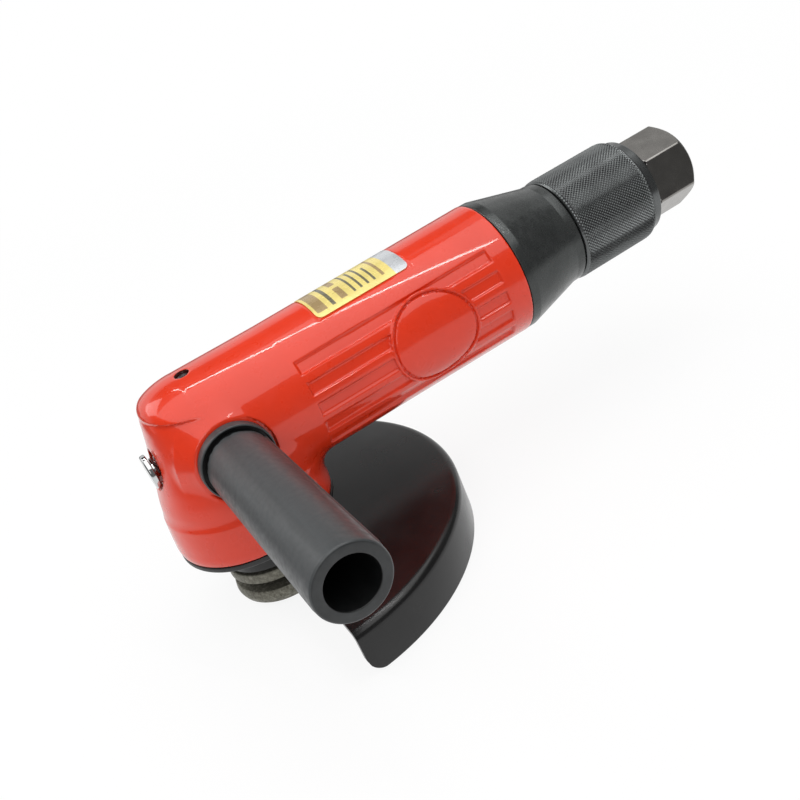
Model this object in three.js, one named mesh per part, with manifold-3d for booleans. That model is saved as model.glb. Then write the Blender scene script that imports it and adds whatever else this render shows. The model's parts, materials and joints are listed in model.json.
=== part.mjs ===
// Pneumatic angle grinder with a rotary throttle ring, side handle and half-round guard.
// Lengths are in millimetres. Z is the spindle axis, up; X runs along the motor axis to the
// air inlet; the side handle points to -Y. The origin is the centre of the spindle's lower end.
import * as THREE from 'three';
import { mergeVertices } from 'three/addons/utils/BufferGeometryUtils.js';
import Module from 'manifold-3d';

const wasm = await Module();
wasm.setup();

// Shared values
const axisHeight = 65; // motor axis above the spindle's lower end
const seam = 0.3; // gap between pieces that touch
const seat = 0.05; // radial gap of a bearing ring on its seat
const overrun = 2; // how far a cutter passes the face it opens
const weld = 0.0001; // points closer than this are one point
const fullTurn = 360; // degrees
const quarterTurn = fullTurn / 2 / 2;

// Step counts of round forms
const bigRound = 36;
const wideRound = 28;
const midRound = 20;
const smallRound = 12;
const pinRound = 8;
const hexSides = 6;
const coilSteps = 8; // to one turn of a spring
const wireSides = 5;
const patchSteps = 8;

// Red casting: a slightly tapered barrel along X with a rounded nose
const rearRadius = 26; // at the rear
const barrelTaper = 0.8;
const crownSwell = 0.3;
const barrel = {
  rearX: 118.3, rearR: rearRadius, frontX: 30, frontR: rearRadius - barrelTaper,
  crownX: -8, crownR: rearRadius - barrelTaper + crownSwell,
};
const nose = { length: 10.5, startX: -3, shelfZ: 17 };
const noseLengthShares = [0.24, 0.52, 0.82, 1];
const noseRadiusShares = [0.993, 0.96, 0.885, 0.79];
// Gear head, heights from the motor axis: a round brim, and sections that turn from round into
// fuller ones beside the barrel. Their heights are shares of the way from the shoulder to the top,
// their half lengths shares of the shoulder's radius.
const bellTopDepth = 5.5; // below the top of the barrel
const bell = {
  bottomZ: -34.6, bottomR: 30.1, brimZ: -32.6, brimR: 29.8, shoulderZ: -20.2, shoulderR: 28.7,
  topZ: barrel.crownR - bellTopDepth,
};
const bellSectionShares = [
  { height: 0.017, front: 0.979, side: 0.979, power: 2 },
  { height: 0.129, front: 0.951, side: 0.951, power: 2.1 },
  { height: 0.303, front: 0.882, side: 0.906, power: 2.2 },
  { height: 0.503, front: 0.805, side: 0.868, power: 2.2 },
  { height: 0.677, front: 0.746, side: 0.826, power: 2.2 },
  { height: 0.801, front: 0.711, side: 0.756, power: 2.2 },
  { height: 0.913, front: 0.679, side: 0.648, power: 2.2 },
  { height: 1, front: 0.641, side: 0.512, power: 2.1 },
];
// Handle bosses on both sides, with a seat sunk into the casting around each face
const boss = { faceY: 23, faceR: 13.9, rootY: 16.5, rootR: 18.7 };
const bossSeatR = 14.2;
const threadR = 4; // M8 stud
const threadDepth = 9;

// Flutes on each flank of the barrel, and the round disc that interrupts them
const fluteRearInset = 8.3; // from the barrel's rear end
const flute = { startX: 31.5, endX: barrel.rearX - fluteRearInset, width: 5, depth: 0.8 };
const fluteAngles = [-36, -17.5, 0, 18, 36.5];
const discInset = 30.5; // from the rear ends of the flutes
const disc = { x: flute.endX - discInset, r: 15.7, angle: 2, grooveWidth: 0.7, grooveDepth: 0.6 };
// Bare label in a shallow recess on top of the barrel
const label = {
  startX: 47.5, endX: 84.7, halfAngle: 27, recessHalfAngle: 28, thick: 0.3, proud: 0.1,
};

// Right-angle gears
const gearing = { module: 1.408, wheelTeeth: 27, pinionTeeth: 13, face: 6.5 };
const tooth = { addendum: 3.7, dedendum: 4.9 }; // in degrees at the common apex
const toothTipShare = 0.4; // half width of a tooth tip as a share of its half width at the pitch
const toothRootShare = 1.4;
const wheelToothShare = 0.84; // tooth width at the pitch against half of the tooth spacing
const pinionToothShare = 0.84;
const wheelBack = 15.6; // depth of the wheel's back below the motor axis
const wheelFront = 11.5; // depth of the middle of its dished front
const wheelHub = { r: 10, bottomZ: -20.3, topZ: -8.8 };
const pinionHub = { r: 7.4, endX: 24 };

// Ball bearings: bore radius, outer radius and width
const upperBearing = { boreR: 4, outerR: 11, width: 7, startZ: 9 };
const lowerBearing = { boreR: 7.5, outerR: 17.5, width: 11, topZ: -20.6 };
const motorBearing = { boreR: 5, outerR: 13, width: 8 };
const raceShare = 0.3; // radial thickness of a bearing race as a share of the bearing's section

// Spindle, around Z
const spindle = { threadR: 7, chamfer: 0.8, threadTopZ: -48.3 };
const spindleCollar = { r: 8.1, topZ: 4.5, bottomZ: -7.1 };
const spindleTop = { r: 4, endZ: 16, shoulderR: 6 };
const lockHole = { r: 2.4, floorR: 5.5, count: 4 };
const key = { width: 3, height: 3.4, startZ: -18, endZ: -9.6, innerR: 5.8 };

// Cavities of the head
const gearRoom = { r: 20.8, topZ: -7, throatR: 12.5, throatZ: -4.4 };
const pinionRoom = { r: 11.5, startX: 9 };
const upperSeatGap = 0.3; // above the bearing
const upperSeat = { topZ: upperBearing.startZ + upperBearing.width + upperSeatGap };
const barrelWall = 3.2;
const motorBore = { r: barrel.frontR - barrelWall, startX: 31 };

// Bearing retainer under the head, with the neck that carries the guard
const plate = { r: 29.5, topZ: -34.9, bottomZ: -37 };
const spigotR = 20.5;
const neck = { r: 15.5, bottomZ: -48.6, boreR: 9.2 };
const sealSeat = { r: 12.1, bottomZ: -36.9 };
const sealThick = 4.2;
const coverScrewInset = 4.3; // from the plate's edge
const coverScrew = { circleR: plate.r - coverScrewInset, r: 1.9, headR: 3.3, length: 12 };
const coverScrewAngles = [35, 145, 215, 325];
const socket = { r: 1.5, depth: 1.6 };

// Clamping flanges
const flange = { topZ: -49.3, bottomZ: -53.6, r: 18.1, pilotR: 11.1, pilotZ: -55 };
const nut = { topZ: -57.5, bottomZ: -63.5, topR: 18, bottomR: 18.6, round: 1.2 };
const nutHole = { r: 1.6, depth: 3, circleR: 13, count: 4, turn: 45 };

// Guard: a half disc with a rim, and a split collar around the neck
const guard = { r: 72.4, sheet: 2, topZ: -47.4, rimZ: -66.1, bend: 2, cornerR: 7 };
const guardRing = { clear: 0.3, wall: 1.8, topZ: -41.4 };
const bendShare = 0.3; // how far the middle of the bend lies inside its corner
const doubler = { r: 27, topZ: -46.2, overlap: 3 };
const guardSteps = 20;
const rimCornerSteps = 2;
const clampAngle = 130;
const clampSplit = 4;
const clampEar = { thick: 3, endR: 27.6, lowZ: -46.6, highZ: -41.8 };
const clampScrew = { r: 1.9, circleR: 23.6, headR: 3, headHeight: 2.6, end: 1.8 };
const clampNut = { r: 3.4, height: 2.8 };

// Side handle, along -Y
const handle = { rootR: 11.45, endR: 12.1, endY: 112.4, boreR: 8.3, boreStart: 46 };
const handleRound = { size: 1.6, share: 0.33 };
const collar = { r: 13.1, length: 3.7, recess: 1.6, recessR: 12.1, holeR: 4.3 };
const stud = { startY: 14.3, endY: 42 };
const bossPlug = { r: 3.6, depth: 7, slotWidth: 1.2, slotDepth: 1.2 };

// Spindle lock, along X through the front wall
const lockRecess = { r: 7.1, floorX: -20 };
const springWell = { r: 5.2, floorX: -15.5 };
const lockBoreR = 2.3;
const button = { faceX: -25.5, thick: 2, edge: 0.4, r: 6.3, hubR: 2.9, hubEndX: -19.5 };
const lockPin = { r: 1.9, startX: -22, tipX: -9.2, stopR: 2.9, stopStartX: -12, stopLength: 0.8 };
const lockSpring = { meanR: 4.15, wireR: 0.35, turns: 4 };

// Grease plug on top of the head
const plugDepth = 1.3; // of its top below the top of the barrel
const plugLowGap = 1; // above the bearing's seat
const greasePlug = {
  holeR: 2.65, r: 2.3, lowZ: upperSeat.topZ + plugLowGap, topZ: barrel.crownR - plugDepth,
  slotWidth: 0.9, slotDepth: 1.4,
};

// Vane motor
const motorFit = 0.3; // around the motor, and between its cylinder and the end plates
const motorFrontGap = 0.4; // from the bore's floor to the front end plate
const motorRearSpace = 15.7; // from the rear end plate to the barrel's rear end
const endPlateLength = 10;
const frontPlateStartX = motorBore.startX + motorFrontGap;
const rearPlateStartX = barrel.rearX - motorRearSpace - endPlateLength;
const linerStartX = frontPlateStartX + endPlateLength + motorFit;
const linerR = motorBore.r - motorFit;
const linerWall = 3.7;
const liner = {
  r: linerR, boreR: linerR - linerWall, offset: 2.3, startX: linerStartX,
  length: rearPlateStartX - motorFit - linerStartX,
};
const plateWall = 1.8; // end plate wall beside the bearing
const shaftHoleR = 6.5;
const exhaustHole = { r: 2.5, spacing: 14, count: 3 };
const rotorClear = 0.3; // from the cylinder and from the end plates
const shaftReach = 0.4; // beyond the rear end plate
const rotor = {
  r: liner.boreR - liner.offset - rotorClear, shaftR: 5, noseR: 4, noseX: 13,
  shaftEndX: rearPlateStartX + endPlateLength + shaftReach,
};
const vaneFloorR = 7.2; // floor of the slots
const vaneFloorGap = 0.6;
const vaneTipInset = 0.2; // below the rotor's surface
const vane = {
  count: 5, thick: 1.5, slotWidth: 2.1, slotFloorR: vaneFloorR,
  innerR: vaneFloorR + vaneFloorGap, outerR: rotor.r - vaneTipInset,
};
const dowelInset = 2.8; // from the cylinder's outside
const dowel = { r: 1.2, holeR: 1.5, circleR: liner.r - dowelInset, inset: 3 };
const portInset = 4.5;
const portHole = { r: 1.8, circleR: liner.r - portInset };

// Black exhaust cover behind the casting: a rim, a cone and a neck
const coverGap = 0.3; // from the barrel's rear end
const spigotLength = 6.6;
const rimLength = 3.6;
const coneLength = 19.1;
const neckLength = 6.4;
const coverStartX = barrel.rearX + coverGap;
const coneStartX = coverStartX + rimLength;
const coneEndX = coneStartX + coneLength;
const cover = {
  startX: coverStartX, r: barrel.rearR, coneStartX, coneEndX, neckR: 21.1,
  endX: coneEndX + neckLength,
};
const coverWall = {
  spigotThick: 2, floorThick: 1, roomInset: 2.4, rimThick: 2.6, roomEndInset: 1.7, neckThick: 4.5,
};
const coverBore = {
  spigotStartX: cover.startX - spigotLength, spigotR: liner.r,
  spigotBoreR: liner.r - coverWall.spigotThick, spigotEndX: cover.startX + coverWall.floorThick,
  roomX: cover.startX + coverWall.roomInset, roomR: cover.r - coverWall.rimThick,
};
const neckRoomTaper = 2.5; // from the neck's outside to the end of the room
const neckBoreInset = 0.7; // of the narrow bore behind the cone
const coverNeck = {
  roomEndX: cover.coneEndX - coverWall.roomEndInset, roomEndR: cover.neckR - neckRoomTaper,
  boreStartX: cover.coneEndX + neckBoreInset, boreR: cover.neckR - coverWall.neckThick,
};
const mufflerGap = 1; // around it
const mufflerFrontGap = 0.5;
const mufflerRearGap = 1.1;
const mufflerThick = 2.7;
const mufflerR = coverNeck.roomEndR - mufflerGap;
const muffler = {
  startX: coverBore.roomX + mufflerFrontGap, endX: coverNeck.roomEndX - mufflerRearGap,
  innerR: mufflerR - mufflerThick, outerR: mufflerR,
};

// Throttle ring, a turned sleeve with a knurled grip, which turns on the valve body's tube
const tubeR = 13.5;
const ringClear = 0.4; // around the tube
const ringFrontGap = 0.6; // behind the exhaust cover
const gripLength = 33.6;
const lipLength = 3.8;
const ringStartX = cover.endX + ringFrontGap;
const gripEndX = ringStartX + gripLength;
const ring = {
  startX: ringStartX, gripEndX, endX: gripEndX + lipLength,
  gripR: 20.7, lipR: 18.9, boreR: tubeR + ringClear,
};
const ringChamfer = 0.7;
const ringGrooveLength = 11.7;
const ringGroove = { r: 17.2, width: 3.7, endX: ring.startX + ringGrooveLength };

// Valve body behind the motor, and the pieces in its bore
const rearGap = 0.3; // from the ring's lip to the tube's end, and from there to the hexagon
const liftLength = 4; // of the valve off its seat
const guideReach = 0.8; // of the guide ahead of the ring's front
const guideLength = 12;
const liftSpare = 0.8; // between the lifted guide and the seat
const seatThick = 3.7;
const guideStartX = ring.startX - guideReach;
const guideEndX = guideStartX + guideLength;
const seatStartX = guideEndX + liftLength + liftSpare;
const seatEndX = seatStartX + seatThick;
const bodyGap = 0.6; // from the rear end plate to the flange
const sleeveWall = 1; // around the tube
const sleeveGap = 1.8; // from the sleeve's end to the ring
const body = {
  flangeStartX: rearPlateStartX + endPlateLength + bodyGap, flangeThick: 6, flangeR: liner.r,
  sleeveR: tubeR + sleeveWall, sleeveEndX: ring.startX - sleeveGap,
};
const tube = { r: tubeR, endX: ring.endX + rearGap, boreR: 8, seatStartX, seatEndX, seatR: 4.8 };
const inletThreadR = 10;
const bodyPortInset = 3.7; // from the flange's edge
const bodyPort = { r: 2.6, circleR: body.flangeR - bodyPortInset, count: 4 };
const guideClear = 0.4; // in the tube's bore
const guide = {
  startX: guideStartX, endX: guideEndX, pinX: (guideStartX + guideEndX) / 2,
  r: tube.boreR - guideClear, ports: 4, portR: 1.2, portCircleR: 5.4,
};
const pinEndGap = 0.5; // from the pin's ends to the floors of the ring's grooves
const drivePin = { r: 1.3, halfLength: ringGroove.r - pinEndGap, slotR: 1.9 };
const valveGap = 0.3; // from the seat to the shut valve
const valveRimInset = 1; // of the head in the tube's bore
const valve = {
  headStartX: tube.seatEndX + valveGap, headLength: 3.7, headR: tube.boreR - valveRimInset,
  stemR: 3, spigotR: 1.9, liftLength,
};
const guideSocket = { r: 2.2, depth: 3.2 };
const throttleTurn = 50; // degrees
const slotSteps = 4;
const valveSpring = { meanR: 6.5, wireR: 0.5, turns: 5 };
const inletHex = {
  startX: tube.endX + rearGap, length: 20.7, acrossFlats: 29, angle: 17, faceR: 13.6, chamfer: 2.6,
};
const inletSpigotLength = 10;
const springWellDepth = 3.7; // into the hexagon
const inlet = {
  spigotStartX: inletHex.startX - inletSpigotLength, springWellR: 8.1,
  wellEndX: inletHex.startX + springWellDepth, boreR: 5.9, endX: inletHex.startX + inletHex.length,
};
const strainerInset = 1.5;
const strainer = {
  startX: inlet.wellEndX + strainerInset, thick: 1.2, holeR: 1.2, holeCircleR: 3.2, holes: 4,
};
const sealInset = 11; // from the tube's end
const sealDepth = 1.3; // of its groove in the tube
const sealGap = 0.3; // from the groove's floor, and from the ring's bore
const ringSeal = {
  x: tube.endX - sealInset, width: 1.6, grooveR: tube.r - sealDepth,
  innerR: tube.r - sealDepth + sealGap, outerR: ring.boreR - sealGap,
};

const grinder = new THREE.Group();
grinder.position.z = axisHeight;

const looks = {
  redEnamel: { color: 0xe0301f, roughness: 0.3, metalness: 0 },
  blackFinish: { color: 0x2b2d2e, roughness: 0.45, metalness: 0.4 },
  blackGloss: { color: 0x141416, roughness: 0.2, metalness: 0.1 },
  greyPlastic: { color: 0x4b4e50, roughness: 0.5, metalness: 0 },
  chrome: { color: 0xc9ccce, roughness: 0.12, metalness: 1 },
  darkSteel: { color: 0x4a4743, roughness: 0.4, metalness: 0.8 },
  greySteel: { color: 0x8a8880, roughness: 0.45, metalness: 0.8 },
  brightSteel: { color: 0xb5b8ba, roughness: 0.3, metalness: 0.9 },
  castIron: { color: 0x66635e, roughness: 0.6, metalness: 0.6 },
  brass: { color: 0xb8964a, roughness: 0.35, metalness: 0.9 },
  rubber: { color: 0x1c1c1c, roughness: 0.85, metalness: 0 },
  vaneResin: { color: 0x7a5a34, roughness: 0.7, metalness: 0 },
  felt: { color: 0xa9a294, roughness: 0.95, metalness: 0 },
  foil: { color: 0xd9b23c, roughness: 0.35, metalness: 0.2 },
};

const radians = (degrees) => THREE.MathUtils.degToRad(degrees);
const anglesOf = (count) => Array.from({ length: count }, (_, i) => (i * fullTurn) / count);

// Drops what merging left without area and turns all faces outwards.
function closedGeometry(geometry) {
  const bare = geometry.clone();
  bare.deleteAttribute('normal');
  bare.deleteAttribute('uv');
  const merged = mergeVertices(bare, weld);
  const kept = [];
  const index = merged.index.array;
  for (let i = 0; i < index.length; i += 3) {
    const [a, b, c] = [index[i], index[i + 1], index[i + 2]];
    if (a !== b && b !== c && c !== a) kept.push(a, b, c);
  }
  merged.setIndex(signedVolume(merged, kept) < 0 ? kept.reverse() : kept);
  return merged;
}

function signedVolume(geometry, index) {
  const place = geometry.getAttribute('position');
  const [a, b, c] = [new THREE.Vector3(), new THREE.Vector3(), new THREE.Vector3()];
  let total = 0;
  for (let i = 0; i < index.length; i += 3) {
    a.fromBufferAttribute(place, index[i]);
    b.fromBufferAttribute(place, index[i + 1]);
    c.fromBufferAttribute(place, index[i + 2]);
    total += a.dot(b.cross(c));
  }
  return total;
}

function toSolid(geometry) {
  const closed = closedGeometry(geometry);
  const vertProperties = new Float32Array(closed.getAttribute('position').array);
  const triVerts = new Uint32Array(closed.index.array);
  return new wasm.Manifold(new wasm.Mesh({ numProp: 3, vertProperties, triVerts }));
}

function toGeometry(solid) {
  const { vertProperties, triVerts } = solid.getMesh();
  const geometry = new THREE.BufferGeometry();
  geometry.setAttribute('position', new THREE.BufferAttribute(vertProperties, 3));
  geometry.setIndex(new THREE.BufferAttribute(triVerts, 1));
  return geometry;
}

const cut = (solid, ...cutters) => cutters.reduce((left, cutter) => left.subtract(cutter), solid);
const join = (solid, ...others) => others.reduce((sum, other) => sum.add(other), solid);

function place(name, shape, look) {
  const geometry = shape.isBufferGeometry ? closedGeometry(shape) : toGeometry(shape);
  const mesh = new THREE.Mesh(geometry, new THREE.MeshStandardMaterial(looks[look]));
  mesh.name = name;
  grinder.add(mesh);
  return mesh;
}

// An outline of [radius, height] turned around Z.
function turnedZ(outline, steps) {
  const points = outline.map(([r, h]) => new THREE.Vector2(r, h));
  if (outline[0][0] > 0) points.push(points[0].clone());
  return new THREE.LatheGeometry(points, steps).rotateX(Math.PI / 2);
}

// An outline of [x, radius] turned around X.
function turnedX(outline, steps) {
  return turnedZ(outline.map(([x, r]) => [r, x]), steps).rotateY(Math.PI / 2);
}

// An outline of [y, radius] turned around Y.
function turnedY(outline, steps) {
  return turnedZ(outline.map(([y, r]) => [r, y]), steps).rotateX(-Math.PI / 2);
}

const rodX = (startX, endX, r, steps) =>
  turnedX([[startX, 0], [startX, r], [endX, r], [endX, 0]], steps);
const rodY = (startY, endY, r, steps) =>
  turnedY([[startY, 0], [startY, r], [endY, r], [endY, 0]], steps);
const rodZ = (startZ, endZ, r, steps) =>
  turnedZ([[0, startZ], [r, startZ], [r, endZ], [0, endZ]], steps);
const ringX = (startX, endX, inner, outer, steps) =>
  turnedX([[startX, inner], [startX, outer], [endX, outer], [endX, inner]], steps);
const ringZ = (startZ, endZ, inner, outer, steps) =>
  turnedZ([[inner, startZ], [outer, startZ], [outer, endZ], [inner, endZ]], steps);

function block(x0, x1, y0, y1, z0, z1) {
  const box = new THREE.BoxGeometry(x1 - x0, y1 - y0, z1 - z0);
  return box.translate((x0 + x1) / 2, (y0 + y1) / 2, (z0 + z1) / 2);
}

// A closed body through rings of points, each ring as many points as the last.
function loft(rings, startCentre, endCentre) {
  const size = rings[0].length;
  const points = [...rings.flat(), startCentre, endCentre];
  const index = [];
  const [startIndex, endIndex] = [points.length - 2, points.length - 1];
  for (let k = 0; k < size; k += 1) {
    const next = (k + 1) % size;
    index.push(startIndex, next, k);
    const last = (rings.length - 1) * size;
    index.push(endIndex, last + k, last + next);
    for (let i = 0; i + 1 < rings.length; i += 1) {
      const [a, b] = [i * size, (i + 1) * size];
      index.push(a + k, a + next, b + k, a + next, b + next, b + k);
    }
  }
  const geometry = new THREE.BufferGeometry().setFromPoints(points);
  geometry.setIndex(index);
  return geometry;
}

function middleOf(points) {
  const sum = new THREE.Vector3();
  for (const point of points) sum.add(point);
  return sum.divideScalar(points.length);
}

// A point at a radius and an angle around Z, from +X towards +Y.
function polarZ(r, degrees, z) {
  return new THREE.Vector3(r * Math.cos(radians(degrees)), r * Math.sin(radians(degrees)), z);
}

// A point around X. The angle starts at -Y and grows towards +Z.
function polarX(x, r, degrees) {
  return new THREE.Vector3(x, -r * Math.cos(radians(degrees)), r * Math.sin(radians(degrees)));
}

// Barrel radius at a place along X.
function barrelR(x) {
  const rear = x > barrel.frontX;
  const [x0, r0] = [barrel.frontX, barrel.frontR];
  const [x1, r1] = rear ? [barrel.rearX, barrel.rearR] : [barrel.crownX, barrel.crownR];
  return r0 + ((r1 - r0) * (x - x0)) / (x1 - x0);
}

function barrelSolid() {
  const rounding = noseLengthShares.map((share, i) => [
    barrel.crownX - share * nose.length,
    barrel.crownR * noseRadiusShares[i],
  ]);
  const tip = barrel.crownX - nose.length;
  const front = [[tip, 0], ...rounding.reverse(), [barrel.crownX, barrel.crownR]];
  const rear = [[barrel.frontX, barrel.frontR], [barrel.rearX, barrel.rearR], [barrel.rearX, 0]];
  const whole = toSolid(turnedX([...front, ...rear], bigRound));
  const side = barrel.rearR + overrun;
  const underNose = block(tip - overrun, nose.startX, -side, side, -side, nose.shelfZ);
  return cut(whole, toSolid(underNose));
}

// A level ring whose half lengths along X and Y are joined by a rounded-square curve.
function sectionRing({ z, front, side, power }) {
  return anglesOf(wideRound).map((degrees) => {
    const [across, along] = [Math.cos(radians(degrees)), Math.sin(radians(degrees))];
    const spread = Math.abs(across) ** power + Math.abs(along) ** power;
    const share = spread ** (-1 / power);
    return new THREE.Vector3(front * across * share, side * along * share, z);
  });
}

function bellSolid() {
  const round = (z, r) => ({ z, front: r, side: r, power: 2 });
  const brim = [
    round(bell.bottomZ, bell.bottomR), round(bell.brimZ, bell.brimR),
    round(bell.shoulderZ, bell.shoulderR),
  ];
  const sections = bellSectionShares.map(({ height, front, side, power }) => ({
    z: bell.shoulderZ + height * (bell.topZ - bell.shoulderZ),
    front: front * bell.shoulderR,
    side: side * bell.shoulderR,
    power,
  }));
  const rings = [...brim, ...sections].map(sectionRing);
  return toSolid(loft(rings, middleOf(rings[0]), middleOf(rings[rings.length - 1])));
}

function bossSolid() {
  const half = [[boss.rootY, boss.rootR], [boss.faceY, boss.faceR]];
  const other = half.map(([y, r]) => [-y, r]).reverse();
  const outline = [[-boss.faceY, 0], ...other, ...half, [boss.faceY, 0]];
  return toSolid(turnedY(outline, midRound));
}

const seatCutter = (side) =>
  toSolid(rodY(side * boss.faceY, side * (bell.bottomR + overrun), bossSeatR, midRound));

// The slots stop at the disc, which keeps the barrel's surface inside its groove.
function fluteCutter(angle, side) {
  const depthStart = barrel.frontR - flute.depth;
  const low = toSolid(
    block(flute.startX, flute.endX, -barrel.rearR - overrun, -depthStart,
      -flute.width / 2, flute.width / 2).rotateX(radians(-angle)),
  );
  return side > 0 ? low : mirrorY(low);
}

function mirrorY(solid) {
  const geometry = toGeometry(solid).clone();
  geometry.scale(1, -1, 1);
  return toSolid(geometry);
}

function discColumn(r) {
  const column = rodY(-barrel.rearR - overrun, -barrel.frontR / 2, r, midRound);
  return column.translate(disc.x, 0, 0).rotateX(radians(-disc.angle));
}

function fluteCutters(side) {
  const outer = toSolid(discColumn(disc.r + disc.grooveWidth));
  const middle = toSolid(discColumn(disc.r + disc.grooveWidth / 2));
  const slots = fluteAngles.map((angle) => cut(fluteCutter(angle, 1), middle));
  const reach = disc.r + flute.width;
  const shell = ringX(disc.x - reach, disc.x + reach,
    barrelR(disc.x) - disc.grooveDepth, barrel.rearR + overrun, bigRound);
  const groove = cut(outer, toSolid(discColumn(disc.r))).intersect(toSolid(shell));
  return [...slots, groove].map((solid) => (side > 0 ? solid : mirrorY(solid)));
}

// A patch of a tapered shell on top of the barrel, from one depth to another.
function topPatch(x0, x1, halfAngle, low, high) {
  const corners = [[x0, low], [x1, low], [x1, high], [x0, high]];
  const rings = Array.from({ length: patchSteps + 1 }, (_, i) => {
    const angle = quarterTurn + halfAngle * ((2 * i) / patchSteps - 1);
    return corners.map(([x, depth]) => polarX(x, barrelR(x) + depth, angle));
  });
  return loft(rings, middleOf(rings[0]), middleOf(rings[patchSteps]));
}

function gearRoomSolid() {
  const outline = [
    [0, bell.bottomZ - overrun], [gearRoom.r, bell.bottomZ - overrun], [gearRoom.r, gearRoom.topZ],
    [gearRoom.throatR, gearRoom.throatZ], [gearRoom.throatR, upperBearing.startZ - seam],
    [upperBearing.outerR + seat, upperBearing.startZ - seam],
    [upperBearing.outerR + seat, upperSeat.topZ], [0, upperSeat.topZ],
  ];
  return toSolid(turnedZ(outline, midRound));
}

function buildHousing() {
  const whole = join(barrelSolid(), bellSolid(), bossSolid());
  const outside = cut(whole, seatCutter(1), seatCutter(-1));
  const rooms = [
    gearRoomSolid(),
    toSolid(rodX(pinionRoom.startX, motorBore.startX + overrun, pinionRoom.r, midRound)),
    toSolid(rodX(motorBore.startX, barrel.rearX + overrun, motorBore.r, wideRound)),
  ];
  const lock = [
    toSolid(rodX(-bell.bottomR - overrun, lockRecess.floorX, lockRecess.r, midRound)),
    toSolid(rodX(lockRecess.floorX - overrun, springWell.floorX, springWell.r, midRound)),
    toSolid(rodX(springWell.floorX - overrun, -gearRoom.throatR + overrun, lockBoreR, smallRound)),
  ];
  const studHoleR = threadR + seam;
  const boreEnd = boss.faceY - threadDepth;
  const threads = [1, -1].map((side) =>
    toSolid(rodY(side * boreEnd, side * (boss.faceY + overrun), studHoleR, smallRound)));
  const plugHole = toSolid(rodZ(upperSeat.topZ - overrun, barrel.rearR + overrun,
    greasePlug.holeR, smallRound));
  const screwHoles = coverScrewAngles.map((angle) => {
    const at = polarZ(coverScrew.circleR, angle, 0);
    const depth = plate.bottomZ + coverScrew.length + seam;
    return toSolid(rodZ(bell.bottomZ - overrun, depth, coverScrew.r + seam, pinRound)
      .translate(at.x, at.y, 0));
  });
  const recess = toSolid(topPatch(label.startX - seam, label.endX + seam,
    label.recessHalfAngle, label.proud - label.thick - seam, overrun));
  const outsideCuts = [...fluteCutters(1), ...fluteCutters(-1), recess];
  place('housing', cut(outside, ...rooms, ...lock, ...threads, plugHole, ...screwHoles,
    ...outsideCuts), 'redEnamel');
}

function buildLabel() {
  place('label_plate', topPatch(label.startX, label.endX, label.halfAngle,
    label.proud - label.thick, label.proud), 'foil');
}

function buildGreasePlug() {
  const blank = toSolid(rodZ(greasePlug.lowZ, greasePlug.topZ, greasePlug.r, smallRound));
  const slot = block(-greasePlug.r - overrun, greasePlug.r + overrun, -greasePlug.slotWidth / 2,
    greasePlug.slotWidth / 2, greasePlug.topZ - greasePlug.slotDepth, greasePlug.topZ + overrun);
  place('grease_plug', cut(blank, toSolid(slot)), 'brightSteel');
}

// One race each side of the balls; start is the lower end along the axis.
function buildBearing(name, size, start, turned) {
  const race = (size.outerR - size.boreR) * raceShare;
  const end = start + size.width;
  const bore = size.boreR + seat;
  place(`${name}_inner_race`, turned(start, end, bore, size.boreR + race, midRound), 'brightSteel');
  place(`${name}_outer_race`, turned(start, end, size.outerR - race, size.outerR, midRound),
    'brightSteel');
}

// Straight bevel teeth on a cone whose apex is the meeting point of both axes.
// The blank is made around +Z with the apex at the origin and the teeth above it.
function bevelBlank(count, pitchDegrees, toothShare, frontDepth, backDepth) {
  const spacing = fullTurn / count;
  const half = ((spacing / 2) * toothShare) / 2;
  const corners = [
    [-half * toothRootShare, -tooth.dedendum], [-half * toothTipShare, tooth.addendum],
    [half * toothTipShare, tooth.addendum], [half * toothRootShare, -tooth.dedendum],
  ];
  const ringAt = (coneLength) => Array.from({ length: count }, (_, k) =>
    corners.map(([turn, lift]) => {
      const cone = radians(pitchDegrees + lift);
      return polarZ(coneLength * Math.sin(cone), k * spacing + turn, coneLength * Math.cos(cone));
    })).flat();
  const inner = ringAt(coneR - gearing.face);
  const outer = ringAt(coneR);
  return loft([inner, outer], new THREE.Vector3(0, 0, frontDepth),
    new THREE.Vector3(0, 0, backDepth));
}

const wheelPitchR = (gearing.module * gearing.wheelTeeth) / 2;
const pinionPitchR = (gearing.module * gearing.pinionTeeth) / 2;
const coneR = Math.hypot(wheelPitchR, pinionPitchR);
const pitchAngle = (r) => THREE.MathUtils.radToDeg(Math.asin(r / coneR));

function buildBevelGear() {
  const teeth = bevelBlank(gearing.wheelTeeth, pitchAngle(wheelPitchR), wheelToothShare,
    wheelFront, wheelBack);
  const halfTooth = fullTurn / gearing.wheelTeeth / 2;
  teeth.rotateX(Math.PI).rotateZ(radians(halfTooth));
  const hub = toSolid(rodZ(wheelHub.bottomZ, wheelHub.topZ, wheelHub.r, midRound));
  const bore = toSolid(rodZ(wheelHub.bottomZ - overrun, 0, lowerBearing.boreR + seat, midRound));
  const keyway = toSolid(block(0, key.innerR + key.height + seam, -key.width / 2 - seam,
    key.width / 2 + seam, wheelHub.bottomZ - overrun, 0));
  place('bevel_gear', cut(join(toSolid(teeth), hub), bore, keyway), 'castIron');
}

function buildPinion() {
  const pitch = pitchAngle(pinionPitchR);
  const back = coneR * Math.cos(radians(pitch)) + seam;
  const front = (coneR - gearing.face) * Math.cos(radians(pitch - tooth.dedendum));
  const teeth = bevelBlank(gearing.pinionTeeth, pitch, pinionToothShare, front, back);
  teeth.rotateY(Math.PI / 2);
  const hub = toSolid(rodX(back - seam, pinionHub.endX, pinionHub.r, midRound));
  const bore = toSolid(rodX(0, pinionHub.endX + overrun, rotor.noseR + seat, midRound));
  place('bevel_pinion', cut(join(toSolid(teeth), hub), bore), 'castIron');
}

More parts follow.
